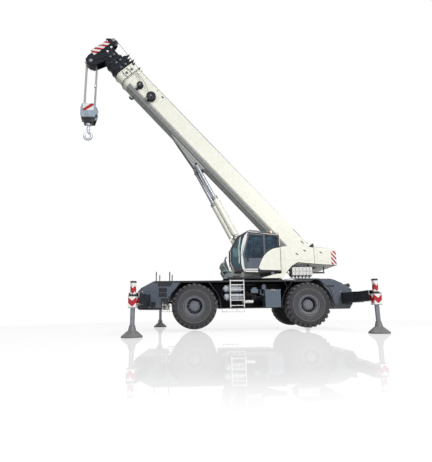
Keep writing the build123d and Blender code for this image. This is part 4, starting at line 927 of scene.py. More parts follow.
def build_machinery():
    valves = Piece("valve_bank", "turret", "ladder_paint")
    for x in (-1.78, -1.92, -2.06, -2.22, -2.36, -2.5):
        for z in (2.155, 2.325):
            valves.box(x - 0.048, x + 0.048, 0.86, 1.2, z, z + 0.145)
        valves.box(x - 0.035, x + 0.035, 0.93, 1.13, 2.1, 2.155)
    valves.box(-2.56, -1.72, 0.92, 1.12, 2.462, 2.5)
    valves.done()
    frame_piece = Piece("valve_hanger", "turret", "black_paint")
    frame_piece.box(-2.6, -1.7, 0.8, 0.86, 2.14, 2.48)
    for x in (-1.8, -2.46):
        frame_piece.boxes((x - 0.03, x + 0.03, 0.385, 1.0, 2.5, 2.52),
            (x - 0.03, x + 0.03, 0.385, 0.4, 2.5, 2.66), (x - 0.03, x + 0.03, 0.94, 1.0, 2.52,
            2.62 + (0.04 if x > -2 else 0)))
    frame_piece.tube([(-2.6, 1.02, 2.27), (-3.1, 1.02, 2.27)], 0.034, 16)
    frame_piece.tube([(-3.08, 1.02, 2.29), (-3.08, 1.02, 2.535)], 0.022)
    frame_piece.plate([(-2.6, 2.38), (-2.6, 2.5), (-2.78, 2.5)], 0.98, 1.06)
    frame_piece.done()
    inner = Piece("valve_bank_core", "turret", "ladder_paint")
    inner.box(-2.545, -1.735, 0.88, 1.165, 2.16, 2.462)
    inner.done("ladder_paint")
    hoses = Piece("turret_hoses", "turret", "hose")
    for n in range(6):
        x = -1.78 - 0.145 * n
        hoses.hose([(x, 0.98, 2.12), (x - 0.02, 0.75, 2.1), (x + 0.06, 0.55, 2.3),
            (x + 0.2, 0.4, 2.55)], 0.016)
    hoses.done()


def build_tank_fittings():
    tank = Piece("oil_tank_fittings", "turret", "black_plastic")
    tank.lathe([(0, 2.851), (0.075, 2.851), (0.075, 2.885), (0.06, 2.905), (0, 2.91)], (0.3, -1.0, 0),
        "Z", 28)
    tank.lathe([(0, 2.851), (0.055, 2.851), (0.055, 2.96), (0, 2.97)], (-0.4, -0.95, 0), "Z", 28)
    tank.box(0.1, 0.16, -1.292, -1.281, 2.45, 2.75)
    tank.done()
    straps = Piece("oil_tank_ribs", "turret", "cream_paint")
    for x in (-0.62, -0.16, 0.3):
        straps.box(x - 0.03, x + 0.03, -1.29, -1.281, 2.12, 2.83)
    straps.box(-0.86, 0.53, -1.26, -0.7, 2.8505, 2.858)
    straps.done("cream_paint")


def build_front_gear():
    """Hose guide and rotary feed ahead of the cab, on the turret's base plate."""
    gear = Piece("front_gear", "turret", "turret_grey")
    gear.plate([(0.62, 2.086), (0.62, 2.28), (0.86, 2.28), (0.98, 2.52), (1.1, 2.52), (1.16, 2.3),
        (1.04, 2.086)], 0.68, 0.74)
    gear.boxes((0.64, 0.9, 0.66, 1.36, 2.086, 2.25), (0.72, 0.88, 0.7, 1.3, 2.25, 2.292))
    gear.plate([(0.9, 2.03), (0.9, 2.27), (1.0, 2.2), (1.06, 2.03)], 0.68, 1.34)
    gear.lathe([(0.06, 0.69), (0.16, 0.69), (0.16, 0.72), (0.1, 0.72), (0.1, 1.02), (0.16, 1.02),
        (0.16, 1.055), (0.06, 1.055)], (1.03, 0, 2.55), "Y", 36)
    gear.tube([(1.03, 0.68, 2.55), (1.03, 1.16, 2.55)], 0.045, 18)
    for y in (1.18, 0.8):
        gear.tube(at_width(y, (0.8, 2.25), (0.92, 2.6), (0.98, 2.86), (0.9, 2.93)), 0.024, 14)
    gear.tube([(0.95, 0.8, 2.74), (0.95, 1.18, 2.74)], 0.02, 14)
    gear.done("chassis_paint")
    loops = Piece("front_hoses", "turret", "turret_hose")
    for n in range(5):
        y, r = 0.74 + 0.07 * n, 0.128
        path = [(0.86, y, 2.24), (0.93, y, 2.34)]
        path += [(1.03 + r * cos(t), y, 2.55 + r * sin(t)) for t in (-1.4, -0.5, 0.4, 1.3, 2.1, 2.8)]
        path += [(0.9, y - 0.05, 2.36), (0.8, y - 0.08, 2.24)]
        loops.hose(path, 0.019)
    loops.hose([(0.84, 1.28, 2.25), (0.96, 1.3, 2.42), (1.05, 1.26, 2.62), (0.98, 1.16, 2.84)], 0.02)
    loops.hose([(0.7, 1.32, 2.24), (0.88, 1.34, 2.34), (1.12, 1.3, 2.3), (1.0, 1.22, 2.1)], 0.02)
    loops.done("chassis_paint")
    shine = Piece("front_fittings", "turret", "bolt_steel")
    shine.bolts([(0.7 + 0.1 * n, 1.3605, 2.16) for n in range(3)], "Y", 0.018, 0.02)
    for y in (0.72, 0.86, 1.0, 1.14, 1.28):
        shine.lathe([(0, 2.25), (0.026, 2.25), (0.026, 2.29), (0, 2.3)], (0.84, y, 0), "Z", 10)
    shine.lathe([(0, 1.06), (0.06, 1.06), (0.052, 1.095), (0, 1.1)], (1.03, 0, 2.55), "Y", 24)
    shine.done()


def build_cab():
    trim = Piece("cab_trim", "turret", "black_plastic")
    trim.box(0.26, 0.62, 1.4205, 1.43, 2.302, 2.34)
    for y in (1.422, 0.648):
        trim.tube(at_width(y, (-1.19, 3.796), (0.045, 3.952), (0.5, 3.692), (0.768, 3.203)), 0.014)
    trim.boxes((-1.15, -0.6, 1.4205, 1.4245, 3.125, 3.145), (-1.198, -0.6, 1.4205, 1.4245, 3.74, 3.76))
    for y in (0.8, 1.3):
        trim.tube(at_width(y, (0.47, 3.72), (0.6, 3.76), (0.66, 3.7)), 0.014)
    trim.tube([(0.4, 1.435, 3.73), (0.52, 1.5, 3.78), (0.66, 1.54, 3.72)], 0.011)
    trim.box(0.64, 0.665, 1.47, 1.62, 3.5, 3.74)
    trim.tube([(0.795, 1.04, 2.48), (0.806, 1.0, 2.8), (0.8, 0.94, 3.1)], 0.009)
    trim.box(0.8, 0.812, 0.925, 0.955, 2.72, 3.22)
    trim.done()
    guard = Piece("roof_guard", "turret", "box_paint")
    for n in range(9):
        x = -0.86 + n * 0.095
        z = 3.78 + (x + 1.2) * 0.128
        guard.tube([(x, 0.74, z + 0.002), (x, 0.74, z + 0.075), (x, 1.34, z + 0.075),
            (x, 1.34, z + 0.002)], 0.009, 8)
    for y in (0.74, 1.34):
        guard.tube([(-0.9, y, 3.818 + 0.075), (0.0, y, 3.934 + 0.075)], 0.011)
    guard.done("box_paint")
    rails = Piece("cab_rails", "turret", "white_paint")
    rails.tube([(0.322, 1.428, 2.95), (0.322, 1.47, 2.95), (0.275, 1.47, 3.18), (0.212, 1.47, 3.36),
        (0.215, 1.428, 3.36)], 0.012)
    rails.tube([(-1.19, 1.445, 3.3), (-1.19, 1.475, 3.3), (-1.19, 1.475, 3.66), (-1.19, 1.445, 3.66)], 0.012)
    rails.done()
    lights = Piece("work_lamps", "turret", "clear_lens")
    for y in (0.8, 1.3):
        lights.lathe([(0, 0.66), (0.045, 0.66), (0.06, 0.72), (0, 0.728)], (0, y, 3.69), "X", 24)
    lights.done()
    beacon = Piece("beacon", "turret", "amber_lens")
    beacon.lathe([(0, 3.905), (0.052, 3.905), (0.052, 3.99), (0.04, 4.06), (0, 4.07)], (-0.98, 0.9, 0),
        "Z", 24)
    beacon.done()
    stem = Piece("beacon_base", "turret", "black_plastic")
    stem.lathe([(0, 3.8), (0.06, 3.8), (0.06, 3.83), (0.03, 3.84), (0.03, 3.88), (0.058, 3.885),
        (0.058, 3.904), (0, 3.904)], (-0.98, 0.9, 0), "Z", 24)
    stem.tube([(-0.55, 1.22, 3.86), (-0.55, 1.22, 4.06)], 0.006)
    stem.done()
    inside = Piece("cab_controls", "turret", "black_plastic")
    inside.tube(at_width(1.04, (0.42, 2.36), (0.3, 2.7), (0.2, 2.92)), 0.045, 16)
    inside.tube([(0.2 + 0.17 * cos(t) * 0.35, 1.04 + 0.17 * sin(t),
        2.94 + 0.17 * cos(t) * 0.94) for t in circle(32, 33)], 0.014)
    inside.tube([(0.2, 0.88, 2.94), (0.2, 1.2, 2.94)], 0.012)
    inside.plate([(0.34, 2.35), (0.34, 2.8), (0.5, 2.88), (0.66, 2.8), (0.7, 2.7), (0.6, 2.35)], 0.76, 1.32)
    for y in (0.735, 1.345):
        inside.plate([(-0.52, 2.74), (-0.52, 2.98), (-0.1, 2.98), (-0.06, 2.9),
            (-0.14, 2.8)], y - 0.025, y + 0.025)
        inside.tube([(-0.14, y, 2.98), (-0.13, y, 3.1)], 0.01)
        inside.lathe([(0, 3.09), (0.02, 3.09), (0.028, 3.13), (0.02, 3.17), (0, 3.18)], (-0.13, y, 0),
            "Z", 16)
    inside.boxes((0.18, 0.22, 1.22, 1.34, 2.98, 3.2), (-0.1, 0.3, 0.9, 1.18, 2.346, 2.356))
    inside.done()
    cushion = Piece("seat_bolsters", "turret", "seat_fabric", bevel=0.02)
    for y in (0.815, 1.215):
        cushion.plate([(-0.68, 2.78), (-0.66, 2.86), (-0.24, 2.85), (-0.2, 2.78)], y - 0.04, y + 0.05)
    cushion.plate([(-0.8, 3.42), (-0.84, 3.66), (-0.76, 3.68), (-0.72, 3.44)], 0.9, 1.18)
    cushion.done("seat_fabric")
    door = Piece("door_gear", "door", "black_plastic")
    door.plate([(0.075, 2.66), (0.06, 2.75), (0.075, 2.84), (0.125, 2.84), (0.14, 2.75),
        (0.125, 2.66)], 1.4602, 1.4675)
    door.boxes((-0.56, 0.005, 1.4602, 1.466, 3.735, 3.748), (-0.148, -0.132, 1.4602, 1.4665, 2.84, 3.745))
    door.done()
    kick = Piece("door_kick_strip", "door", "white_paint")
    kick.plate([(-0.29, 2.352), (-0.29, 2.404), (0.215, 2.404), (0.208, 2.352)], 1.4602, 1.464)
    kick.done("cream_paint")
    surround = Piece("door_surround", "turret", "white_paint")
    outer = [(-0.3, 2.272), (0.15, 2.28), (0.25, 2.322), (0.322, 2.42), (0.362, 2.64), (0.366, 3.06),
        (0.34, 3.3), (0.271, 3.596), (0.19, 3.77), (0.105, 3.872)]
    inner = [(0.062, 3.86), (0.13, 3.74), (0.205, 3.53), (0.262, 3.3), (0.29, 3.06), (0.286, 2.64),
        (0.248, 2.45), (0.19, 2.36), (0.13, 2.34), (-0.3, 2.334)]
    surround.plate(outer + inner, 1.4205, 1.43)
    surround.done("cream_paint")
    pillar = Piece("front_pillar_trim", "turret", "ladder_paint")
    pillar.plate([(0.425, 2.62), (0.425, 3.31), (0.355, 3.7), (0.392, 3.69), (0.455, 3.32),
        (0.455, 2.62)], 1.4205, 1.427)
    pillar.done("cream_paint")
    sill = Piece("door_rails", "turret", "box_paint")
    sill.boxes((-1.16, 0.24, 1.4205, 1.4245, 2.316, 2.334), (-1.16, 0.2, 1.4205, 1.424, 3.86, 3.872))
    sill.done("box_paint")


build_covers()
build_machinery()
build_tank_fittings()
build_front_gear()
build_cab()


# ---- Lift cylinders -----------------------------------------------------------------------------
def build_lift():
    pin = Vector(JOINTS["lift_tilt"]["pos_m"])
    along = Vector(JOINTS["lift_slide"]["axis"]).normalized()
    across = Vector((0, 1, 0))
    turn = Matrix((along, across, along.cross(across))).transposed().to_4x4()
    at = Matrix.Translation((pin.x, 0, pin.z)) @ turn
    gland = Piece("lift_glands", "barrels", "ring_steel", at)
    trim = Piece("lift_pipes", "barrels", "cream_paint", at)
    for y in (-LIFT_Y, LIFT_Y):
        gland.lathe([(0.0865, 3.898), (0.118, 3.898), (0.138, 3.88), (0.138, 3.8), (0.1305, 3.795),
            (0.1305, 3.78), (0.142, 3.78), (0.142, 3.925), (0.124, 3.935), (0.0865, 3.935)], (0, y, 0),
            "X", 40)
        gland.bolts([(3.936, y + 0.105 * cos(t), 0.105 * sin(t)) for t in circle(12)], "X", 0.009, 0.008)
        trim.box(0.62, 0.86, y - 0.06, y + 0.06, 0.128, 0.215)
        trim.tube([(0.86, y, 0.165), (3.66, y, 0.165)], 0.016)
        trim.tube([(3.66, y, 0.165), (3.72, y, 0.125)], 0.016)
        for x in (1.5, 2.4, 3.3):
            trim.lathe([(0.1305, x), (0.137, x), (0.137, x + 0.04), (0.1305, x + 0.04)], (0, y, 0), "X", 36)
            trim.box(x, x + 0.04, y - 0.03, y + 0.03, 0.128, 0.186)
    gland.done("ring_steel")
    trim.done("cream_paint")


build_lift()


# ---- Boom -----------------------------------------------------------------------------------------
def build_boom():
    rail = Piece("boom_conduit", "boom", "cream_paint", ON_BOOM)
    rail.tube([(1.6, 0.3365, -0.205), (10.1, 0.3365, -0.205)], 0.0075)
    for x in (2.0, 4.0, 6.0, 8.0, 10.0):
        rail.box(x - 0.02, x + 0.02, 0.3302, 0.3455, -0.23, -0.18)
    rail.done("cream_paint")
    plates = Piece("boom_base_trim", "boom", "cream_paint", ON_BOOM)
    for way in (-1, 1):
        y = widths(way, 0.3302, 0.34)
        plates.boxes((11.36, 11.44, *y, -0.2, 0.46), (9.62, 9.7, *y, -0.2, 0.46))
    for x in (0.55, 1.35):
        plates.boxes((x - 0.15, x + 0.15, -0.14, -0.11, 0.46, 0.6),
            (x - 0.15, x + 0.15, 0.11, 0.14, 0.46, 0.6))
    plates.done("cream_paint")
    roller = Piece("rope_rollers", "boom", "ring_steel", ON_BOOM)
    for x in (0.55, 1.35):
        roller.tube([(x, -0.11, 0.56), (x, 0.11, 0.56)], 0.034, 24)
    roller.tube([(6.6, -0.11, 0.56), (6.6, 0.11, 0.56)], 0.034, 24)
    roller.done("ring_steel")
    bracket = Piece("boom_marks", "boom", "black_plastic", ON_BOOM)
    bracket.boxes((6.55, 6.65, -0.13, -0.11, 0.5, 0.59), (6.55, 6.65, 0.11, 0.13, 0.5, 0.59),
        (9.72, 9.83, 0.3302, 0.345, 0.38, 0.44), (10.16, 10.2, 0.3302, 0.35, 0.44, 0.49))
    bracket.plate([(10.86, -0.642), (10.9, -0.685), (10.98, -0.685), (11.02, -0.642)], -0.05, 0.05)
    bracket.done()
    reels = Piece("reel_cables", "boom", "hose", ON_BOOM)
    rims = Piece("reel_rims", "boom", "reel_paint", ON_BOOM)
    shine = Piece("reel_hubs", "boom", "bolt_steel", ON_BOOM)
    for x, radius in ((10.87, 0.14), (10.09, 0.21)):
        for n in range(5):
            y = 0.4265 + 0.016 * n
            reels.tube([(x + (radius - 0.022) * cos(t), y, (radius - 0.022) * sin(t)) for t in circle(40,
                41)], 0.0095, 8)
        rims.lathe([(0.03, 0.4205), (radius - 0.03, 0.4205), (radius - 0.03, 0.502),
            (0.03, 0.502)], (x, 0, 0), "Y", 40)
        rims.lathe([(0.03, 0.502), (radius + 0.006, 0.502), (radius + 0.006, 0.512),
            (0.03, 0.515)], (x, 0, 0), "Y", 48)
        rims.box(x - 0.05, x + 0.05, 0.3305, 0.352, -0.26, -0.1)
        shine.lathe([(0, 0.515), (0.04, 0.515), (0.034, 0.532), (0, 0.535)], (x, 0, 0), "Y", 24)
        shine.bolts(ring_places(6, radius * 0.55, (x, 0.513, 0)), "Y", 0.009, 0.006)
    reels.hose([(10.3, 0.46, 0.02), (10.6, 0.46, 0.16), (11.1, 0.42, 0.3), (11.52, 0.36, 0.34)], 0.009)
    reels.hose([(10.98, 0.46, 0.08), (11.2, 0.43, 0.2), (11.52, 0.36, 0.24)], 0.008)
    for piece in (reels, rims, shine):
        piece.done()


def build_collars():
    """Wear-pad screws on the collars, and the conduit brackets and pipes on the inner sections."""
    ends = ((0, 11.57, "boom"), (1, 12.1, "section_1"), (2, 12.4, "section_2"), (3, 12.8, "section_3"),
        (4, 13.3, "section_4"))
    for n, end, body in ends:
        half, top = 0.33 - 0.032 * n, 0.5 - 0.032 * n
        pads = Piece(f"collar_{n}_screws", body, "bolt_steel", ON_BOOM, 0.001)
        face = half + 0.0202
        for way in (-1, 1):
            pads.bolts([(end - 0.03, way * face, z) for z in (-0.16, 0.02, 0.2, 0.38)], "Y", 0.01 * way,
                0.008 * way)
        pads.bolts([(end - 0.03, y, top + 0.0202) for y in (-half + 0.06, half - 0.06)], "Z", 0.01, 0.008)
        pads.done()
    links = ((0.298, 11.66, 12.03, "section_1", 0.3), (0.266, 12.19, 12.33, "section_2", 0.26),
        (0.234, 12.5, 12.73, "section_3", 0.23), (0.202, 12.9, 13.22, "section_4", 0.2))
    for n, (half, x0, x1, body, z) in enumerate(links):
        gear = Piece(f"section_{n + 1}_blocks", body, "box_paint", ON_BOOM)
        mid = (x0 + x1) / 2
        gear.box(mid - 0.05, mid + 0.05, half + 0.0003, half + 0.045, -0.05, 0.05)
        gear.lathe([(0, half + 0.0003), (0.06, half + 0.0003), (0.06, half + 0.03), (0.045, half + 0.04),
            (0, half + 0.04)], (mid, 0, z), "Y", 24)
        gear.done("box_paint")
        edge = Piece(f"section_{n + 1}_pipes", body, "hose", ON_BOOM)
        edge.hose([(x0, half + 0.02, 0.14), (mid, half + 0.035, 0.17), (x1, half + 0.02, 0.13)], 0.012)
        edge.hose([(x0, half + 0.02, -0.12), (mid, half + 0.035, -0.15), (x1, half + 0.02, -0.12)], 0.012)
        edge.done()


def build_horns():
    """Rope horns that stand on the inner sections' collars, and dark wiper lips between the sections."""
    horns = (("section_1", 11.68, 11.85, 0.5, (11.795, 0.751)), ("section_2", 12.165, 12.36, 0.46, (12.312,
        0.804)), ("section_3", 12.54, 12.78, 0.43, (12.66, 0.815)))
    for body, x0, x1, low, tip in horns:
        horn = Piece(f"{body}_horns", body, "boom_dark", ON_BOOM)
        outline = [(x0, low), (x0 + 0.01, low + 0.13), (tip[0] - 0.05, tip[1] - 0.09),
            tip, (tip[0] + 0.02, tip[1] - 0.12), (x1, low + 0.1), (x1, low)]
        for y in (-0.125, 0.105):
            horn.plate(outline, y, y + 0.02)
        horn.tube([(x0 + 0.05, -0.12, low + 0.07), (x0 + 0.05, 0.12, low + 0.07)], 0.014)
        horn.done("boom_dark")
    lips = (("boom", 0.352, 0.522, 11.56), ("section_1", 0.32, 0.49, 11.64),
        ("section_1", 0.32, 0.49, 12.09), ("section_2", 0.288, 0.458, 12.168),
        ("section_2", 0.288, 0.458, 12.39), ("section_3", 0.256, 0.426, 12.47),
        ("section_3", 0.256, 0.426, 12.79), ("section_4", 0.224, 0.394, 12.87))
    for n, (body, half, top, x) in enumerate(lips):
        lip = Piece(f"wiper_lip_{n}", body, "black_plastic", ON_BOOM, 0.002)
        turns = [pi * k / 16 for k in range(17)]
        outer = [(half, top), (-half, top)] + [(-half * cos(t), -0.22 - half * sin(t)) for t in turns]
        inner = [(y * (1 - 0.0022 / half) , z - 0.0022 if z > 0 else z) for y, z in outer]
        rows = [[(x, y, z) for y, z in inner], [(x, y * 1.02, z * 1.01) for y, z in outer], [(x + 0.02,
            y * 1.02, z * 1.01) for y, z in outer], [(x + 0.02, y, z) for y, z in inner]]
        lip.skin(rows + [rows[0]], caps=False)
        lip.done()


def build_head():
    boards = Piece("head_boards", "section_4", "board_paint", ON_BOOM, 0.002, local=True)
    outline = [(13.635, -0.535), (13.64, 0.44), (13.872, 0.452), (13.95, -0.5)]
    for y in (0.212, -0.224):
        boards.plate(outline, y, y + 0.012)
    boards.done()
    back = Piece("head_board_backs", "section_4", "boom_dark", ON_BOOM, 0.002)
    for way in (-1, 1):
        y = widths(way, 0.1975, 0.2115)
        for z in (-0.36, 0.0, 0.34):
            back.box(13.655, 13.845, *y, z - 0.03, z + 0.03)
    for y in (-0.13, 0.115):
        back.plate([(13.78, 0.4), (13.78, 0.6), (13.89, 0.68), (14.0, 0.59), (14.05, 0.49),
            (13.9, 0.4)], y, y + 0.015)
    back.lathe([(0.018, -0.1), (0.086, -0.1), (0.086, -0.05), (0.06, -0.04), (0.06, 0.04), (0.086, 0.05),
        (0.086, 0.1), (0.018, 0.1)], (13.955, 0, 0.535), "Y", 32)
    back.tube([(13.955, -0.14, 0.535), (13.955, 0.14, 0.535)], 0.0175, 16)
    back.plate([(13.44, 0.46), (13.46, 0.74), (13.53, 0.76), (13.6, 0.6), (13.58, 0.46)], 0.198, 0.214)
    back.plate([(13.5, 0.3), (13.5, 0.44), (13.6, 0.44), (13.6, 0.3)], 0.198, 0.206)
    back.box(13.03, 13.24, 0.2025, 0.24, -0.12, 0.14)
    back.plate([(13.32, -0.95), (13.3, -0.86), (13.36, -0.78), (13.5, -0.78), (13.5, -0.98)], -0.165, -0.15)
    back.plate([(13.32, -0.95), (13.3, -0.86), (13.36, -0.78), (13.5, -0.78), (13.5, -0.98)], 0.15, 0.165)
    back.tube([(13.35, -0.165, -0.86), (13.35, 0.165, -0.86)], 0.02, 16)
    for t in (0.35, 0.95, 1.55, 2.15, 2.75):
        x, z = 13.54 + 0.292 * cos(-t), -0.82 + 0.292 * sin(-t)
        back.tube([(x, -0.17, z), (x, 0.17, z)], 0.012)
    back.done("boom_dark")
    lens = Piece("head_lamps_white", "section_4", "clear_lens", ON_BOOM, 0.002)
    lens.box(13.4, 13.49, 0.2145, 0.226, 0.315, 0.405)
    lens.lathe([(0, 0.1975), (0.05, 0.1975), (0.05, 0.235), (0.036, 0.25), (0, 0.254)], (13.385, 0, 0.078),
        "Y", 28)
    lens.lathe([(0, 0.2245), (0.03, 0.2245), (0.026, 0.252), (0, 0.258)], (13.872, 0, 0.069), "Y", 20)
    lens.done()
    wind = Piece("wind_gauge", "section_4", "black_plastic", ON_BOOM, 0.001)
    wind.lathe([(0, 0.2265), (0.02, 0.2265), (0.02, 0.234), (0, 0.236)], (13.445, 0, 0.36), "Y", 16)
    wind.tube(at_width(0.15, (13.5, 0.44), (13.5, 0.6), (13.56, 0.66)), 0.008)
    for n in range(3):
        turn = 2 * pi * n / 3
        wind.tube([(13.56, 0.15, 0.66), (13.56 + 0.05 * cos(turn), 0.15 + 0.05 * sin(turn), 0.66)], 0.004, 6)
        wind.lathe([(0, 0.645), (0.016, 0.65), (0.016, 0.67), (0, 0.675)], (13.56 + 0.05 * cos(turn),
            0.15 + 0.05 * sin(turn), 0), "Z", 12)
    wind.hose([(12.95, 0.21, 0.24), (13.2, 0.215, 0.16), (13.45, 0.21, 0.1), (13.6, 0.205, -0.2)], 0.012)
    wind.hose([(12.95, 0.21, -0.2), (13.15, 0.215, -0.3), (13.35, 0.21, -0.42), (13.44, 0.205, -0.7)], 0.012)
    wind.done()
    pins = Piece("head_pins", "section_4", "ring_steel", ON_BOOM, 0.002)
    for x, z in ((13.54, -0.82), (13.7, 0.7)):
        for way in (-1, 1):
            y = way * 0.1975
            pins.lathe([(0, y), (0.085, y), (0.085, y + way * 0.014), (0.045, y + way * 0.03),
                (0, y + way * 0.03)], (x, 0, z), "Y", 32)
    pins.done("ring_steel")


def build_ropes():
    """Hoist rope over its rollers, then down the head; the spans between bodies are straight tubes fixed where they
    are drawn.
    """
    start, over = (-3.15, 0, 3.3935), (0.55, 0, 0.607)
    low = ON_TURRET @ Vector(start)
    high = ON_BOOM @ Vector(over)
    spans = (("winch", low, high, "turret", "boom"),)
    knots = [(0.55, 0.607), (11.7, 0.655), (12.1, 0.695), (12.5, 0.734), (13.7, 0.851)]
    bodies = ("boom", "section_1", "section_2", "section_3", "section_4")
    for n in range(4):
        a = ON_BOOM @ Vector((knots[n][0], 0, knots[n][1]))
        b = ON_BOOM @ Vector((knots[n + 1][0], 0, knots[n + 1][1]))
        spans += ((f"span_{n + 1}", a, b, bodies[n], bodies[n + 1]),)
    for name, a, b, one, two in spans:
        count = 32
        rope = Piece(f"hoist_rope_{name}", None, "rope_steel", Matrix.Identity(4), 0)
        rope.tube([a.lerp(b, n / count) for n in range(count + 1)], 0.012, 10)
        thing = rope.done("rope_steel")
        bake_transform(thing)
    last = Piece("hoist_rope_head", "section_4", "rope_steel", ON_BOOM, 0)
    turn = [(13.7 + 0.15 * sin(t), 0, 0.7 + 0.15 * cos(t)) for t in (0.0, 0.4, 0.8, 1.2, 1.55)]
    last.tube([*turn, (13.84, 0, 0.3), (13.8, 0, -0.4), (13.778, 0, -0.78)], 0.012, 10)
    last.done("rope_steel")
    drum = Piece("winch_rope", "turret", "rope_steel", ON_TURRET, 0)
    rows = 24
    path = []
    for k in range(rows * 16 + 1):
        turn = 2 * pi * k / 16
        path.append((-3.15 + 0.1775 * sin(turn), -0.3 + 0.6 * k / (rows * 16), 3.215 + 0.1775 * cos(turn)))
    drum.tube(path, 0.0122, 6)
    drum.done("rope_steel")


def build_hook():
    at = Matrix.Translation((HEAD_PIN.x, 0, 0))
    boards = Piece("block_boards", "hang", "block_board", at, 0.002, local=True)
    for way in (-1, 1):
        y = widths(way, 0.1705, 0.178)
        boards.plate([(-0.25, 9.985), (-0.25, 10.275), (-0.2, 10.33), (0.2, 10.33), (0.25, 10.275),
            (0.25, 9.985)], *y)
    boards.done()
    guard = Piece("block_guards", "hang", "hook_paint", at)
    for way in (-1, 1):
        x = widths(way, 0.292, 0.352)
        guard.box(*x, -0.141, 0.141, 9.86, 10.02)
        guard.tube([(way * 0.3, -0.141, 10.1), (way * 0.3, 0.141, 10.1)], 0.018, 16)
        guard.tube([(way * 0.22, -0.141, 9.74), (way * 0.22, 0.141, 9.74)], 0.02, 16)
    for way in (-1, 1):
        y = way * 0.1705
        guard.lathe([(0, y), (0.11, y), (0.11, y + way * 0.012), (0.07, y + way * 0.034),
            (0, y + way * 0.034)], (0, 0, 9.84), "Y", 40)
        y = widths(way, 0.1705, 0.186)
        guard.plate([(-0.21, 9.56), (-0.21, 9.66), (0.21, 9.66), (0.21, 9.56)], *y)
    guard.done("hook_paint")
    steel = Piece("block_bolts", "hang", "bolt_steel", at, 0.001)
    for way in (-1, 1):
        steel.bolts([(x, way * 0.1705, z) for x, z in ((-0.3, 10.1), (0.3, 10.1), (-0.3, 9.84), (0.3, 9.84),
            (-0.2, 9.48), (0.2, 9.48))], "Y", 0.02 * way, 0.014 * way)
        steel.bolts([(x, way * 0.186, 9.61) for x in (-0.15, 0.15)], "Y", 0.014 * way, 0.01 * way)
    steel.done()
    weight = Piece("rope_weight", "hang", "white_paint", at)
    weight.lathe([(0.0135, 11.21), (0.044, 11.21), (0.052, 11.235), (0.052, 11.3), (0.04, 11.33),
        (0.0135, 11.33)], (-0.2383, 0.1, 0), "Z", 24)
    weight.done()
    chain = Piece("rope_weight_chain", "hang", "bolt_steel", at, 0)
    for n in range(26):
        z = 11.345 + 0.034 * n
        wide = (0.009, 0) if n % 2 else (0, 0.009)
        chain.tube([(-0.27 + wide[0] * cos(t), 0.1 + wide[1] * cos(t),
            z + 0.022 * sin(t)) for t in circle(10, 11)], 0.0035, 5)
    chain.tube([(-0.27, 0.1, 11.32), (-0.27, 0.1, 11.36)], 0.005, 6)
    chain.done()
    nut = Piece("hook_nut", "hook", "hook_steel", at)
    nut.lathe([(0.056, 9.3), (0.105, 9.3), (0.12, 9.32), (0.12, 9.385), (0.056, 9.385)], (0, 0, 0), "Z", 40)
    nut.lathe([(0.056, 9.06), (0.072, 9.06), (0.08, 9.1), (0.08, 9.18), (0.056, 9.22)], (0, 0, 0), "Z", 32)
    nut.tube([(0.105, 0.035, 8.985), (0.165, 0.03, 8.9), (0.155, 0.02, 8.7), (0.14, 0, 8.655)], 0.008, 8)
    nut.tube([(0.105, -0.035, 8.985), (0.165, -0.03, 8.9), (0.155, -0.02, 8.7), (0.14, 0, 8.655)], 0.008, 8)
    nut.done("hook_steel")


build_boom()
build_collars()
build_horns()
build_head()
build_ropes()
build_hook()


# ---- Studio: floor, light and camera --------------------------------------------------
FLOOR_HALF = 120.0
FLOOR_WHITE = 0.8       # share of plain white in the floor near the crane
FLOOR_MIRROR = 0.27
CAMERA_AT = (0.256, 14.753, 0.758)
CAMERA_RIGHT = (-0.99897, 0.04335, -0.01355)
CAMERA_UP = (-0.00561, 0.17821, 0.98398)
CAMERA_LENS = 26.57
CAMERA_SHIFT_Y = 0.041


def seen_directly(nodes):
    """1 for camera, glossy and transmission rays, which see the pale studio."""
    rays = nodes.node("ShaderNodeLightPath").outputs
    seen = nodes.math("MAXIMUM", rays["Is Camera Ray"], rays["Is Glossy Ray"])
    return nodes.math("MAXIMUM", seen, rays["Is Transmission Ray"])


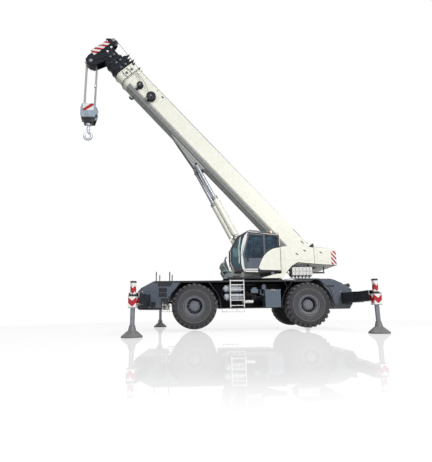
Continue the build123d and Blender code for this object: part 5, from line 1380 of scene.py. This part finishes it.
def build_floor():
    """A pale mirror near the crane that fades to plain white."""
    mesh = bpy.data.meshes.new("floor")
    corners = [(x, y, -0.002) for x, y in ((-1, -1), (1, -1), (1, 1), (-1, 1))]
    mesh.from_pydata([(x * FLOOR_HALF, y * FLOOR_HALF, z) for x, y, z in corners], [], [(0, 1, 2, 3)])
    floor = bpy.data.objects.new("floor", mesh)
    bpy.context.scene.collection.objects.link(floor)
    material = bpy.data.materials.new("studio_floor")
    s = Nodes(material)
    place = s.node("ShaderNodeTexCoord").outputs["Object"]
    away = s.node("ShaderNodeVectorMath", {0: place}, operation="LENGTH").outputs["Value"]
    plain, mirrored = (
        s.node("ShaderNodeMapRange", {0: away, 1: near, 2: far, 3: first, 4: last}, interpolation_type="SMOOTHSTEP")
        for near, far, first, last in ((9.0, 20.0, FLOOR_WHITE, 1.0), (9.8, 12.6, FLOOR_MIRROR, 0.0)))
    seen = seen_directly(s)
    matt_colour = s.node("ShaderNodeMix", {0: seen, 2: 0.16, 3: 0.86}, data_type="FLOAT")
    matt = s.node("ShaderNodeBsdfDiffuse", {0: matt_colour})
    white = s.node("ShaderNodeEmission", {0: (1, 1, 1, 1)})
    lit = s.node("ShaderNodeMixShader", {0: seen * plain, 1: matt, 2: white})
    gloss = s.node("ShaderNodeBsdfGlossy", {0: (1, 1, 1, 1), 1: 0.02})
    s.feed(s.surface, s.node("ShaderNodeMixShader", {0: mirrored, 1: lit, 2: gloss}))
    mesh.materials.append(material)


def build_world():
    world = bpy.data.worlds.new("studio")
    bpy.context.scene.world = world
    s = Nodes(world, "ShaderNodeOutputWorld")
    strength = s.node("ShaderNodeMapRange", {"Value": seen_directly(s), "To Min": 0.36, "To Max": 1.0})
    s.feed(s.surface, s.node("ShaderNodeBackground", {"Strength": strength, "Color": (1, 1, 1, 1)}))


def softbox(name, place, target, size, watts):
    light = bpy.data.lights.new(name, "AREA")
    light.shape = "SQUARE"
    light.size = size
    light.energy = watts
    box = bpy.data.objects.new(name, light)
    box.location = place
    box.rotation_euler = (Vector(target) - Vector(place)).to_track_quat("-Z", "Y").to_euler()
    bpy.context.scene.collection.objects.link(box)


def build_camera():
    camera = bpy.data.objects.new("camera", bpy.data.cameras.new("camera"))
    right, up = Vector(CAMERA_RIGHT), Vector(CAMERA_UP)
    back = right.cross(up)
    turn = Matrix((right, up, back)).transposed().to_4x4()
    camera.matrix_world = Matrix.Translation(CAMERA_AT) @ turn
    camera.data.lens = CAMERA_LENS
    camera.data.sensor_width = 36
    camera.data.shift_y = CAMERA_SHIFT_Y
    camera.data.clip_end = 500
    bpy.context.scene.collection.objects.link(camera)
    bpy.context.scene.camera = camera


build_floor()
build_world()
softbox("key", (-14, 27, 20), (0, 0, 5), 12, 9700)
softbox("fill", (14, 28, 12), (0, 0, 5), 12, 1500)
softbox("top", (0, -6, 30), (0, 0, 4), 14, 2600)
build_camera()
bpy.context.scene.view_settings.view_transform = "Standard"
